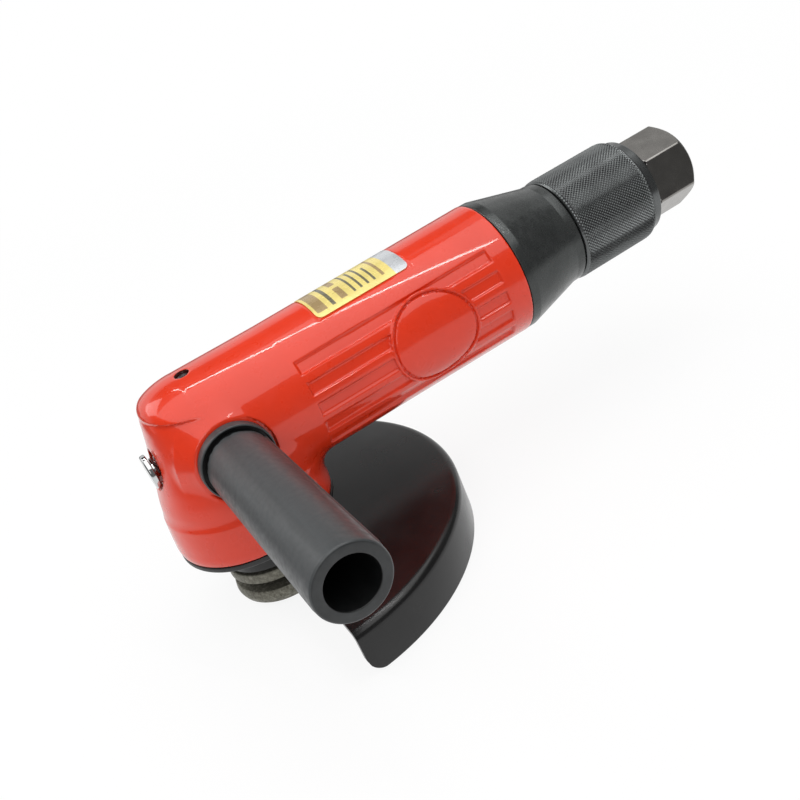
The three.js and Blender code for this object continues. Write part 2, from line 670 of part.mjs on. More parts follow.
function buildSpindle() {
  const bottom = -axisHeight;
  const outline = [
    [0, bottom], [spindle.threadR - spindle.chamfer, bottom],
    [spindle.threadR, bottom + spindle.chamfer], [spindle.threadR, spindle.threadTopZ],
    [lowerBearing.boreR, spindle.threadTopZ], [lowerBearing.boreR, spindleCollar.bottomZ],
    [spindleCollar.r, spindleCollar.bottomZ], [spindleCollar.r, spindleCollar.topZ],
    [spindleTop.shoulderR, spindleCollar.topZ], [spindleTop.shoulderR, upperBearing.startZ - seam],
    [spindleTop.r, upperBearing.startZ - seam], [spindleTop.r, spindleTop.endZ],
    [0, spindleTop.endZ],
  ];
  const holes = anglesOf(lockHole.count).map((angle) =>
    toSolid(rodX(lockHole.floorR, spindleCollar.r + overrun, lockHole.r, pinRound)
      .rotateZ(radians(angle))));
  const keyway = toSolid(block(key.innerR - seam, lowerBearing.boreR + overrun,
    -key.width / 2 - seam, key.width / 2 + seam, key.startZ - seam, key.endZ + seam));
  place('spindle', cut(toSolid(turnedZ(outline, midRound)), ...holes, keyway), 'brightSteel');
  place('spindle_key', block(key.innerR, key.innerR + key.height, -key.width / 2, key.width / 2,
    key.startZ, key.endZ), 'darkSteel');
}

function buildRetainer() {
  const bearingBottom = lowerBearing.topZ - lowerBearing.width;
  const pocketR = lowerBearing.outerR + seat;
  const outline = [
    [neck.boreR, neck.bottomZ], [neck.r, neck.bottomZ], [neck.r, plate.bottomZ],
    [plate.r, plate.bottomZ], [plate.r, plate.topZ], [spigotR, plate.topZ],
    [spigotR, lowerBearing.topZ], [pocketR, lowerBearing.topZ], [pocketR, bearingBottom - seam],
    [sealSeat.r, bearingBottom - seam], [sealSeat.r, sealSeat.bottomZ],
    [neck.boreR, sealSeat.bottomZ],
  ];
  const [holeR, sinkR] = [coverScrew.r + seam, coverScrew.headR + seam];
  const holeTop = plate.bottomZ + coverScrew.length + seam;
  const holes = coverScrewAngles.map((angle) => {
    const at = polarZ(coverScrew.circleR, angle, 0);
    return toSolid(turnedZ([
      [0, plate.bottomZ - overrun], [sinkR + overrun, plate.bottomZ - overrun],
      [holeR, plate.bottomZ + sinkR - holeR], [holeR, holeTop], [0, holeTop],
    ], smallRound).translate(at.x, at.y, 0));
  });
  place('bearing_retainer', cut(toSolid(turnedZ(outline, midRound)), ...holes), 'blackFinish');
  const sealBottom = sealSeat.bottomZ + seam;
  place('spindle_seal', ringZ(sealBottom, sealBottom + sealThick, lowerBearing.boreR + seam,
    sealSeat.r - seam, midRound), 'rubber');
}

function buildCoverScrews() {
  const headBottom = plate.bottomZ + seam;
  const tip = plate.bottomZ + coverScrew.length;
  coverScrewAngles.forEach((angle, i) => {
    const at = polarZ(coverScrew.circleR, angle, 0);
    const outline = [
      [0, headBottom], [coverScrew.headR, headBottom],
      [coverScrew.r, headBottom + coverScrew.headR - coverScrew.r], [coverScrew.r, tip], [0, tip],
    ];
    const hex = toSolid(rodZ(headBottom - overrun, headBottom + socket.depth, socket.r, hexSides));
    const screw = cut(toSolid(turnedZ(outline, smallRound)), hex);
    place(`cover_screw_${i + 1}`, toGeometry(screw).translate(at.x, at.y, 0), 'darkSteel');
  });
}

function buildFlanges() {
  const boreR = spindle.threadR + seam;
  place('inner_flange', turnedZ([
    [boreR, flange.topZ], [flange.r, flange.topZ], [flange.r, flange.bottomZ],
    [flange.pilotR, flange.bottomZ], [flange.pilotR, flange.pilotZ], [boreR, flange.pilotZ],
  ], wideRound), 'greySteel');
  const blank = toSolid(turnedZ([
    [boreR, nut.topZ], [nut.topR, nut.topZ], [nut.bottomR, nut.bottomZ + nut.round],
    [nut.bottomR - nut.round, nut.bottomZ], [boreR, nut.bottomZ],
  ], wideRound));
  const holes = anglesOf(nutHole.count).map((angle) => {
    const at = polarZ(nutHole.circleR, angle + nutHole.turn, 0);
    return toSolid(rodZ(nut.bottomZ - overrun, nut.bottomZ + nutHole.depth, nutHole.r, pinRound)
      .translate(at.x, at.y, 0));
  });
  place('outer_flange_nut', cut(blank, ...holes), 'greySteel');
}

// Lower edge of the rim at a length of arc from its nearer end.
function rimLow(arc) {
  const left = Math.max(guard.cornerR - arc, 0);
  return guard.rimZ + guard.cornerR - Math.sqrt(guard.cornerR ** 2 - left ** 2);
}

// The half-round sheet with its rim, as one bent profile swept round the spindle axis.
function guardSheet() {
  const quarterArc = radians(quarterTurn) * guard.r;
  const cornerArcs = Array.from({ length: rimCornerSteps + 1 }, (_, i) =>
    (guard.cornerR * i) / rimCornerSteps);
  const first = cornerArcs.map((arc) => [(arc / quarterArc - 1) * quarterTurn, arc]);
  const from = first[first.length - 1][0];
  const middle = Array.from({ length: guardSteps - 1 }, (_, i) =>
    [from - (2 * from * (i + 1)) / guardSteps, guard.cornerR]);
  const last = first.map(([angle, arc]) => [-angle, arc]).reverse();
  const inner = guard.r - guard.sheet;
  const root = doubler.r - doubler.overlap;
  const rings = [...first, ...middle, ...last].map(([angle, arc]) => {
    const low = rimLow(arc);
    const outline = [
      [root, guard.topZ], [guard.r - guard.bend, guard.topZ],
      [guard.r - guard.bend * bendShare, guard.topZ - guard.bend * bendShare],
      [guard.r, guard.topZ - guard.bend], [guard.r, low], [inner, low],
      [inner, guard.topZ - guard.sheet], [root, guard.topZ - guard.sheet],
    ];
    return outline.map(([r, z]) => polarZ(r, angle, z));
  });
  return toSolid(loft(rings, middleOf(rings[0]), middleOf(rings[rings.length - 1])));
}

// A box beside the split of the clamp, from one distance across the split to another.
function besideSplit(across0, across1, r0, r1, z0, z1) {
  return block(r0, r1, across0, across1, z0, z1).rotateZ(radians(clampAngle));
}

function buildGuard() {
  const boreR = neck.r + guardRing.clear;
  const outerR = boreR + guardRing.wall;
  const sheetMiddle = guard.topZ - guard.sheet / 2;
  const band = toSolid(rodZ(sheetMiddle, guardRing.topZ, outerR, wideRound));
  const disc = toSolid(rodZ(sheetMiddle, doubler.topZ, doubler.r, wideRound));
  const far = doubler.r + overrun;
  const pad = disc.intersect(toSolid(block(0, far, -far, far, sheetMiddle, doubler.topZ)));
  const ears = [1, -1].map((side) => {
    const outer = clampSplit / 2 + clampEar.thick;
    const [low, high] = side > 0 ? [-seam, outer] : [-outer, seam];
    return toSolid(besideSplit(low, high, boreR + guardRing.wall / 2, clampEar.endR,
      clampEar.lowZ, clampEar.highZ));
  });
  const bore = toSolid(rodZ(guard.topZ - guard.sheet - overrun, guardRing.topZ + overrun, boreR,
    wideRound));
  const split = toSolid(besideSplit(-clampSplit / 2, clampSplit / 2, 0, clampEar.endR + overrun,
    doubler.topZ + seam, guardRing.topZ + overrun));
  const middleZ = (clampEar.lowZ + clampEar.highZ) / 2;
  const holeEnd = clampSplit + clampEar.thick;
  const hole = toSolid(rodY(-holeEnd, holeEnd, clampScrew.r + seam, pinRound)
    .translate(clampScrew.circleR, 0, middleZ).rotateZ(radians(clampAngle)));
  const whole = join(guardSheet(), pad, band, ...ears);
  place('guard', cut(whole, bore, split, hole), 'blackGloss');
}

function buildClampScrew() {
  const middleZ = (clampEar.lowZ + clampEar.highZ) / 2;
  const face = clampSplit / 2 + clampEar.thick + seam;
  const headEnd = face + clampScrew.headHeight;
  const tip = -face - clampNut.height - clampScrew.end;
  const screw = turnedY([
    [tip, 0], [tip, clampScrew.r], [face, clampScrew.r], [face, clampScrew.headR],
    [headEnd, clampScrew.headR], [headEnd, 0],
  ], smallRound);
  const hex = toSolid(rodY(headEnd - socket.depth, headEnd + overrun, socket.r, hexSides));
  const toPlace = (geometry) =>
    geometry.translate(clampScrew.circleR, 0, middleZ).rotateZ(radians(clampAngle));
  place('clamp_screw', toPlace(toGeometry(cut(toSolid(screw), hex))), 'darkSteel');
  const nutBlank = toSolid(rodY(-face - clampNut.height, -face, clampNut.r, hexSides));
  const bore = toSolid(rodY(-face - clampNut.height - overrun, -face + overrun,
    clampScrew.r + seam, smallRound));
  place('clamp_nut', toPlace(toGeometry(cut(nutBlank, bore))), 'greySteel');
}

function buildHandle() {
  const start = -boss.faceY - seam;
  const front = start - collar.length;
  place('handle_collar', turnedY([
    [start, collar.holeR], [start, collar.r], [front, collar.r], [front, collar.recessR],
    [front + collar.recess, collar.recessR], [front + collar.recess, collar.holeR],
  ], wideRound), 'greyPlastic');
  const root = front + collar.recess - seam;
  const end = -handle.endY;
  const floor = -handle.boreStart;
  const bend = handleRound.size * handleRound.share;
  place('handle_grip', turnedY([
    [root, collar.holeR], [root, handle.rootR], [end + handleRound.size, handle.endR],
    [end + bend, handle.endR - bend], [end, handle.endR - handleRound.size],
    [end, handle.boreR], [floor, handle.boreR], [floor, collar.holeR],
  ], wideRound), 'greyPlastic');
  place('handle_stud', rodY(-stud.endY, -stud.startY, threadR, smallRound), 'brightSteel');
  const plugEnd = boss.faceY;
  const plug = toSolid(rodY(plugEnd - bossPlug.depth, plugEnd, bossPlug.r, smallRound));
  const slot = toSolid(block(-threadR - overrun, threadR + overrun, plugEnd - bossPlug.slotDepth,
    plugEnd + overrun, -bossPlug.slotWidth / 2, bossPlug.slotWidth / 2));
  place('boss_plug', cut(plug, slot), 'darkSteel');
}

// A spring along X from one end to the other, as one unbroken wire.
function coilX(name, startX, endX, spring) {
  const steps = spring.turns * coilSteps;
  const [from, to] = [startX + spring.wireR, endX - spring.wireR];
  const rings = Array.from({ length: steps + 1 }, (_, i) => {
    const turn = radians((i * fullTurn) / coilSteps);
    const centreX = from + ((to - from) * i) / steps;
    return anglesOf(wireSides).map((angle) => {
      const around = radians(angle);
      const r = spring.meanR + spring.wireR * Math.cos(around);
      const x = centreX + spring.wireR * Math.sin(around);
      return new THREE.Vector3(x, r * Math.cos(turn), r * Math.sin(turn));
    });
  });
  place(name, loft(rings, middleOf(rings[0]), middleOf(rings[rings.length - 1])), 'brightSteel');
  const pitch = (to - from) / spring.turns;
  console.log(`${name}: least gap between turns ${(pitch - 2 * spring.wireR).toFixed(2)} mm`);
}

function buildSpindleLock() {
  const back = button.faceX + button.thick;
  const pressR = lockPin.r + seat;
  const { edge } = button;
  place('lock_button', turnedX([
    [button.faceX, 0], [button.faceX, button.r - edge], [button.faceX + edge, button.r],
    [back - edge, button.r], [back, button.r - edge], [back, button.hubR],
    [button.hubEndX, button.hubR], [button.hubEndX, pressR], [lockPin.startX - seam, pressR],
    [lockPin.startX - seam, 0],
  ], midRound), 'chrome');
  const stopEnd = lockPin.stopStartX + lockPin.stopLength;
  place('lock_pin', turnedX([
    [lockPin.startX, 0], [lockPin.startX, lockPin.r], [lockPin.stopStartX, lockPin.r],
    [lockPin.stopStartX, lockPin.stopR], [stopEnd, lockPin.stopR], [stopEnd, lockPin.r],
    [lockPin.tipX, lockPin.r], [lockPin.tipX, 0],
  ], smallRound), 'brightSteel');
  coilX('lock_spring', back + seam, springWell.floorX - seam, lockSpring);
}

function endPlate(name, startX) {
  const end = startX + endPlateLength;
  const pocketR = motorBearing.outerR + seat;
  const pocketStart = startX + plateWall;
  const outline = [
    [startX, shaftHoleR], [startX, liner.r], [end, liner.r], [end, pocketR],
    [pocketStart, pocketR], [pocketStart, shaftHoleR],
  ];
  const dowelHole = rodX(startX - overrun, end + overrun, dowel.holeR, pinRound)
    .translate(0, 0, dowel.circleR);
  const port = rodX(startX - overrun, end + overrun, portHole.r, pinRound)
    .translate(0, -portHole.circleR, 0);
  const blank = toSolid(turnedX(outline, midRound));
  place(name, cut(blank, toSolid(dowelHole), toSolid(port)), 'castIron');
}

function buildMotorCase() {
  endPlate('front_end_plate', frontPlateStartX);
  endPlate('rear_end_plate', rearPlateStartX);
  const frontSeatX = frontPlateStartX + plateWall + seam / 2;
  const rearSeatX = rearPlateStartX + plateWall + seam / 2;
  buildBearing('front_bearing', motorBearing, frontSeatX, ringX);
  buildBearing('rear_bearing', motorBearing, rearSeatX, ringX);
  const end = liner.startX + liner.length;
  const blank = toSolid(rodX(liner.startX, end, liner.r, midRound));
  const bore = toSolid(rodX(liner.startX - overrun, end + overrun, liner.boreR, wideRound)
    .translate(0, 0, -liner.offset));
  const dowelHole = toSolid(rodX(liner.startX - overrun, end + overrun, dowel.holeR, pinRound)
    .translate(0, 0, dowel.circleR));
  const middle = (liner.startX + end) / 2;
  const ports = Array.from({ length: exhaustHole.count }, (_, i) => {
    const x = middle + exhaustHole.spacing * (i - (exhaustHole.count - 1) / 2);
    return toSolid(rodY(0, liner.r + overrun, exhaustHole.r, pinRound).translate(x, 0, 0));
  });
  place('motor_cylinder', cut(blank, bore, dowelHole, ...ports), 'castIron');
  place('locating_dowel', rodX(frontPlateStartX + dowel.inset,
    rearPlateStartX + endPlateLength - dowel.inset, dowel.r, pinRound)
    .translate(0, 0, dowel.circleR), 'brightSteel');
}

function buildRotor() {
  const start = liner.startX + rotorClear;
  const end = liner.startX + liner.length - rotorClear;
  const outline = [
    [rotor.noseX, 0], [rotor.noseX, rotor.noseR], [pinionHub.endX + seam, rotor.noseR],
    [pinionHub.endX + seam, rotor.shaftR], [start, rotor.shaftR], [start, rotor.r],
    [end, rotor.r], [end, rotor.shaftR], [rotor.shaftEndX, rotor.shaftR], [rotor.shaftEndX, 0],
  ];
  const turns = anglesOf(vane.count).map(radians);
  const slots = turns.map((turn) => toSolid(block(start - overrun, end + overrun,
    -vane.slotWidth / 2, vane.slotWidth / 2, vane.slotFloorR, rotor.r + overrun).rotateX(turn)));
  place('rotor', cut(toSolid(turnedX(outline, midRound)), ...slots), 'darkSteel');
  turns.forEach((turn, i) => {
    place(`vane_${i + 1}`, block(start + seam, end - seam, -vane.thick / 2, vane.thick / 2,
      vane.innerR, vane.outerR).rotateX(turn), 'vaneResin');
  });
}

// Ports on a circle around X, for cutting.
function portsX(startX, endX, r, circleR, count, shift) {
  return anglesOf(count).map((angle) => {
    const at = polarX(0, circleR, angle + shift);
    return toSolid(rodX(startX, endX, r, pinRound).translate(0, at.y, at.z));
  });
}

// The slanted slots lead the pin along X while the ring turns it. A twisted band on each side
// and a rod at each end cut both.
function slantedSlots() {
  const [near, far] = [tube.boreR / 2, tube.r + overrun];
  const half = drivePin.slotR * Math.cos(Math.PI / smallRound);
  const bands = [1, -1].map((side) => {
    const rings = Array.from({ length: slotSteps + 1 }, (_, i) => {
      const turn = -(throttleTurn * i) / slotSteps;
      const x = guide.pinX + (valve.liftLength * i) / slotSteps;
      const corners = [[-half, near], [half, near], [half, far], [-half, far]];
      return corners.map(([along, r]) => polarX(x + along, side * r, turn));
    });
    return toSolid(loft(rings, middleOf(rings[0]), middleOf(rings[slotSteps])));
  });
  const ends = [0, 1].map((end) => {
    const rod = rodY(-far, far, drivePin.slotR, smallRound);
    rod.translate(guide.pinX + valve.liftLength * end, 0, 0).rotateX(radians(throttleTurn) * end);
    return toSolid(rod);
  });
  return [...bands, ...ends];
}

function buildValveBody() {
  const flangeEnd = body.flangeStartX + body.flangeThick;
  const threadBoreR = inletThreadR + seam;
  const seatR = [[tube.seatEndX, threadBoreR], [tube.seatEndX, tube.seatR]];
  const sealStart = ringSeal.x - seam;
  const sealEnd = ringSeal.x + ringSeal.width + seam;
  const outline = [
    [body.flangeStartX, tube.boreR], [body.flangeStartX, body.flangeR], [flangeEnd, body.flangeR],
    [flangeEnd, body.sleeveR], [body.sleeveEndX, body.sleeveR], [body.sleeveEndX, tube.r],
    [sealStart, tube.r], [sealStart, ringSeal.grooveR], [sealEnd, ringSeal.grooveR],
    [sealEnd, tube.r], [tube.endX, tube.r], [tube.endX, threadBoreR], ...seatR,
    [tube.seatStartX, tube.seatR], [tube.seatStartX, tube.boreR],
  ];
  const ports = portsX(body.flangeStartX - overrun, flangeEnd + overrun, bodyPort.r,
    bodyPort.circleR, bodyPort.count, fullTurn / bodyPort.count / 2);
  place('valve_body', cut(toSolid(turnedX(outline, midRound)), ...ports, ...slantedSlots()),
    'blackFinish');
  place('ring_seal', ringX(ringSeal.x, ringSeal.x + ringSeal.width, ringSeal.innerR,
    ringSeal.outerR, midRound), 'rubber');
}

function buildValve() {
  const guideBlank = toSolid(rodX(guide.startX, guide.endX, guide.r, midRound));
  const pinHole = toSolid(rodY(-guide.r - overrun, guide.r + overrun, drivePin.r + seam, pinRound)
    .translate(guide.pinX, 0, 0));
  const socketCut = toSolid(rodX(guide.endX - guideSocket.depth, guide.endX + overrun,
    guideSocket.r, pinRound));
  const ports = portsX(guide.startX - overrun, guide.endX + overrun, guide.portR,
    guide.portCircleR, guide.ports, fullTurn / guide.ports / 2);
  place('valve_guide', cut(guideBlank, pinHole, socketCut, ...ports), 'brass');
  place('drive_pin', rodY(-drivePin.halfLength, drivePin.halfLength, drivePin.r, pinRound)
    .translate(guide.pinX, 0, 0), 'brightSteel');
  const headEnd = valve.headStartX + valve.headLength;
  const spigotStart = guide.endX - guideSocket.depth + seam;
  place('valve_head', turnedX([
    [spigotStart, 0], [spigotStart, valve.spigotR], [guide.endX + seam, valve.spigotR],
    [guide.endX + seam, valve.stemR], [valve.headStartX, valve.stemR],
    [valve.headStartX, valve.headR], [headEnd, valve.headR], [headEnd, 0],
  ], midRound), 'brass');
  coilX('valve_spring', headEnd + seam, inlet.wellEndX - seam, valveSpring);
}

function buildInlet() {
  const hexR = inletHex.acrossFlats / 2 / Math.cos(Math.PI / hexSides);
  const bar = toSolid(rodX(inletHex.startX, inlet.endX, hexR, hexSides)
    .rotateX(radians(inletHex.angle)));
  const turned = toSolid(turnedX([
    [inletHex.startX, 0], [inletHex.startX, hexR + overrun],
    [inlet.endX - inletHex.chamfer, hexR], [inlet.endX, inletHex.faceR], [inlet.endX, 0],
  ], wideRound));
  const spigot = toSolid(rodX(inlet.spigotStartX, inletHex.startX + overrun, inletThreadR,
    midRound));
  const well = toSolid(rodX(inlet.spigotStartX - overrun, inlet.wellEndX, inlet.springWellR,
    midRound));
  const bore = toSolid(rodX(inlet.wellEndX - overrun, inlet.endX + overrun, inlet.boreR, midRound));
  place('inlet_adapter', cut(join(bar.intersect(turned), spigot), well, bore), 'darkSteel');
  const screen = toSolid(rodX(strainer.startX, strainer.startX + strainer.thick,
    inlet.boreR - seam, midRound));
  const holes = portsX(strainer.startX - overrun, strainer.startX + strainer.thick + overrun,
    strainer.holeR, strainer.holeCircleR, strainer.holes, 0);
  place('inlet_strainer', cut(screen, ...holes), 'brass');
}

function buildThrottleRing() {
  const blank = toSolid(turnedX([
    [ring.startX, ring.boreR], [ring.startX, ring.gripR - ringChamfer],
    [ring.startX + ringChamfer, ring.gripR], [ring.gripEndX - ringChamfer, ring.gripR],
    [ring.gripEndX, ring.gripR - ringChamfer], [ring.gripEndX, ring.lipR],
    [ring.endX - ringChamfer, ring.lipR], [ring.endX, ring.lipR - ringChamfer],
    [ring.endX, ring.boreR],
  ], wideRound));
  const groove = toSolid(block(ring.startX - overrun, ringGroove.endX, -ringGroove.r, ringGroove.r,
    -ringGroove.width / 2, ringGroove.width / 2));
  place('throttle_ring', cut(blank, groove), 'blackFinish');
}

function buildExhaustCover() {
  place('exhaust_cover', turnedX([
    [coverBore.spigotStartX, coverBore.spigotBoreR], [coverBore.spigotStartX, coverBore.spigotR],
    [cover.startX, coverBore.spigotR], [cover.startX, cover.r], [cover.coneStartX, cover.r],
    [cover.coneEndX, cover.neckR], [cover.endX, cover.neckR], [cover.endX, coverNeck.boreR],
    [coverNeck.boreStartX, coverNeck.boreR], [coverNeck.roomEndX, coverNeck.roomEndR],
    [coverBore.roomX, coverBore.roomR], [coverBore.spigotEndX, coverBore.spigotBoreR],
  ], wideRound), 'blackFinish');
  place('muffler_felt', ringX(muffler.startX, muffler.endX, muffler.innerR, muffler.outerR,
    midRound), 'felt');
}

buildHousing();
buildLabel();
buildGreasePlug();
buildSpindle();
buildBevelGear();
buildPinion();
buildBearing('upper_bearing', upperBearing, upperBearing.startZ, ringZ);
buildBearing('lower_bearing', lowerBearing, lowerBearing.topZ - lowerBearing.width, ringZ);
buildRetainer();
buildCoverScrews();
buildFlanges();
buildGuard();
buildClampScrew();
buildHandle();
buildSpindleLock();
buildMotorCase();
buildRotor();
buildValveBody();
buildValve();
buildInlet();
buildThrottleRing();
buildExhaustCover();

export default grinder;
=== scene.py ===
import json
import math

import bmesh
import bpy
import numpy as np
from mathutils import Matrix, Vector


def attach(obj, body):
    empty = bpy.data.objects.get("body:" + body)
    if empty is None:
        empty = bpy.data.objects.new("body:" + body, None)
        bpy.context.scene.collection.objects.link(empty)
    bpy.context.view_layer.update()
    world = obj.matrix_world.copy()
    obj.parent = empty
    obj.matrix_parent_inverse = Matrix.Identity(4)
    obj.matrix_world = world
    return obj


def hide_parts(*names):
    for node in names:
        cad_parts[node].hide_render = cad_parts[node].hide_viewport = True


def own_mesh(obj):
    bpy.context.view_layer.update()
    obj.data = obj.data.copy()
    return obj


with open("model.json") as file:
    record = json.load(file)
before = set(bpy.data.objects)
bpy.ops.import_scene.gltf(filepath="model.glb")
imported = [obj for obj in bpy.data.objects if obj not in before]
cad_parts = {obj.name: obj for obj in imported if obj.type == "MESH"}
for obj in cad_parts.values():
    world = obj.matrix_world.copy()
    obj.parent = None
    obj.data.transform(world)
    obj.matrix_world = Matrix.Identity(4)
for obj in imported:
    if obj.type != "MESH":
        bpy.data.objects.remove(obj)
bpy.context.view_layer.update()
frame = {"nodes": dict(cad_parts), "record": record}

MM = 0.001
AXIS_Z = 65.0  # height of the motor axis above the frame's origin, in millimetres
PI = math.pi


SLOTS = {row["node"]: row["material_slot"] for row in frame["record"]["subparts"]}


# ---- mesh helpers
def link_object(name, data):
    """A new object in the scene's collection."""
    item = bpy.data.objects.new(name, data)
    bpy.context.scene.collection.objects.link(item)
    return item


def mesh_from(name, points, faces):
    """A mesh from points in millimetres, with its faces turned outwards."""
    mesh = bpy.data.meshes.new(name)
    mesh.from_pydata([tuple(p) for p in np.asarray(points, float) * MM], [], faces)
    mesh.update()
    fix = bmesh.new()
    fix.from_mesh(mesh)
    bmesh.ops.recalc_face_normals(fix, faces=fix.faces)
    fix.to_mesh(mesh)
    fix.free()
    return mesh


def shade(mesh, sharp):
    """Smooth shading, with edges above an angle in degrees kept sharp."""
    mesh.polygons.foreach_set("use_smooth", np.ones(len(mesh.polygons), bool))
    mesh.set_sharp_from_angle(angle=math.radians(sharp))


def stand_for(piece, node, body):
    """The piece rides on a body and stands for a CAD node, which is hidden."""
    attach(piece, body)
    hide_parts(node)


def add_piece(name, points, faces, body, slot_name, node, sharp=35.0, look=None):
    """A mesh piece that stands for a CAD node. Its look is its slot's unless another is given."""
    mesh = mesh_from(name, points, faces)
    shade(mesh, sharp)
    mesh.materials.append(LOOKS[look or slot_name])
    piece = link_object(name, mesh)
    stand_for(piece, node, body)
    return piece


def rounded(outline, steps=5):
    """The corners (a, b, radius) of a closed outline turned into fine arcs."""
    straight = 1e-3  # a corner this near to a straight line or a hairpin, in radians, stays
    most = 0.49  # share of a side that one arc may take up
    n = len(outline)
    points = []
    for i, corner in enumerate(outline):
        r = corner[2] if len(corner) > 2 else 0
        here = np.array(corner[:2], float)
        if r <= 0:
            points.append(here)
            continue
        before = np.array(outline[(i - 1) % n][:2], float)
        after = np.array(outline[(i + 1) % n][:2], float)
        u, v = before - here, after - here
        lu, lv = np.linalg.norm(u), np.linalg.norm(v)
        u, v = u / lu, v / lv
        half = math.acos(np.clip(u @ v, -1, 1)) / 2
        if half < straight or abs(half - PI / 2) < straight:
            points.append(here)
            continue
        reach = min(r / math.tan(half), most * lu, most * lv)
        r = reach * math.tan(half)
        centre = here + (u + v) / np.linalg.norm(u + v) * (r / math.sin(half))
        start, end = here + u * reach - centre, here + v * reach - centre
        a0, a1 = math.atan2(start[1], start[0]), math.atan2(end[1], end[0])
        turn = (a1 - a0 + PI) % (2 * PI) - PI
        for k in range(steps + 1):
            a = a0 + turn * k / steps
            points.append(centre + r * np.array([math.cos(a), math.sin(a)]))
    return np.array(points)


def axis_frame(axis):
    """Unit vectors: along the axis, and two across it."""
    along = {"X": (1, 0, 0), "Y": (0, 1, 0), "Z": (0, 0, 1)}[axis]
    across = {"X": (0, 1, 0), "Y": (0, 0, 1), "Z": (1, 0, 0)}[axis]
    along, across = np.array(along, float), np.array(across, float)
    return along, across, np.cross(along, across)


def lathe(outline, axis, steps, centre=(0, 0, AXIS_Z), closed=True):
    """Points and faces of an outline (along, radius) turned round an axis."""
    on_axis = 1e-6  # a point closer to the axis than this stands alone
    along, u, v = axis_frame(axis)
    centre = np.array(centre, float)
    turns = np.linspace(0, 2 * PI, steps, endpoint=False)
    ring = np.cos(turns)[:, None] * u + np.sin(turns)[:, None] * v
    points, rows = [], []
    for a, r in outline:
        if r < on_axis:
            rows.append([len(points)] * steps)
            points.append(centre + along * a)
        else:
            rows.append(list(range(len(points), len(points) + steps)))
            points.extend(centre + along * a + ring * r)
    faces = []
    count = len(rows)
    for i in range(count if closed else count - 1):
        low, high = rows[i], rows[(i + 1) % count]
        for k in range(steps):
            n = (k + 1) % steps
            face = []
            for q in (low[k], low[n], high[n], high[k]):
                if q not in face:
                    face.append(q)
            if len(face) > 2:
                faces.append(face)
    return np.array(points), faces


def turned_piece(name, outline, axis, body, slot_name, node, steps=128, look=None):
    points, faces = lathe(rounded(outline), axis, steps)
    return add_piece(name, points, faces, body, slot_name, node, look=look)


def ring_faces(count, steps, closed=True):
    """Quads between rings of points, with the last joined to the first or both ends capped."""
    grid = np.arange(count * steps).reshape(count, steps)
    after = np.roll(grid, -1, axis=1)
    quads = np.stack([grid, after, np.roll(after, -1, axis=0), np.roll(grid, -1, axis=0)], -1)
    if closed:
        return quads.reshape(-1, 4).tolist()
    return quads[:-1].reshape(-1, 4).tolist() + [grid[0].tolist(), grid[-1][::-1].tolist()]


def carve(piece, cutters):
    """Cuts closed forms out of a piece and keeps its shading."""
    for points, faces in cutters:
        tool = link_object("cutter", mesh_from("cutter", points, faces))
        modifier = piece.modifiers.new("cut", "BOOLEAN")
        modifier.operation = "DIFFERENCE"
        modifier.solver = "EXACT"
        modifier.object = tool
        bpy.context.view_layer.update()
        graph = bpy.context.evaluated_depsgraph_get()
        made = bpy.data.meshes.new_from_object(piece.evaluated_get(graph))
        piece.modifiers.clear()
        piece.data = made
        bpy.data.objects.remove(tool)
    shade(piece.data, 32)


# ---- distance field
def smooth_max(a, b, k):
    """The larger of two fields, with their meeting edge rounded over about k millimetres."""
    h = np.clip(0.5 - 0.5 * (b - a) / k, 0, 1)
    return b * (1 - h) + a * h + k * h * (1 - h)


def smooth_min(a, b, k):
    return -smooth_max(-a, -b, k)


def step(low, high, x):
    """A smooth change from 0 at low to 1 at high."""
    t = np.clip((x - low) / (high - low), 0, 1)
    return t * t * (3 - 2 * t)


# The red casting in millimetres, with heights from the motor axis
BARREL_START = -3.0  # where the barrel's round nose begins
BARREL_END = 118.3
NOSE_LENGTH, NOSE_R, NOSE_DROP, NOSE_PLAN_R = 16.4, 25.5, 7.2, 19.45
# the barrel is thinnest at its waist and grows from there to the front and to the rear
WAIST_X, WAIST_R, FRONT_GROWTH, FRONT_LENGTH, REAR_GROWTH = 30, 25.2, 0.3, 38, 0.8
# the slope on top where the nose meets the head, and the cone that ends the head in the barrel
SHELF_Z, SHELF_SLOPE, CONE_Z, CONE_R = 17.0, 0.11, 6.0, 24.7
SHOULDER, HEAD_TOP, HEAD_END, HEAD_LOWEST = -20.3, 20, -34.6, -36
BOSS_R, BOSS_ROOT_R, BOSS_FACE, BOSS_START, SEAT_R = 13.9, 18.7, 23.0, 12, 14.2
# radius of the head's round lower part at heights
HEAD_LOW = [(HEAD_LOWEST, 28.9), (HEAD_END, 29.35), (-33.2, 29.6), (-29, 29.45), (-24, 29.0),
            (SHOULDER, 28.6)]
# sections of the head's upper part: height, half lengths along X and Y, and the power of the
# curve that joins them
HEAD_SECTIONS = [
    (SHOULDER, 28.6, 28.6, 2.0), (-18.5, 28.05, 28.05, 2.0), (-15, 27.3, 27.3, 2.1),
    (-8, 25.3, 26.0, 2.2), (0, 23.1, 24.9, 2.2), (7, 21.4, 23.7, 2.2), (12, 20.4, 21.7, 2.2),
    (16.5, 19.5, 18.6, 2.2), (HEAD_TOP, 18.4, 14.7, 2.1),
]
# flutes: the angles of their middles above the side, and their half width, ends and depth
FLUTES = (-36, -17.5, 0, 18, 36.5)
FLUTE_HALF, FLUTE_START, FLUTE_END, FLUTE_DEPTH = 2.6, 31.5, 110.0, 1.0
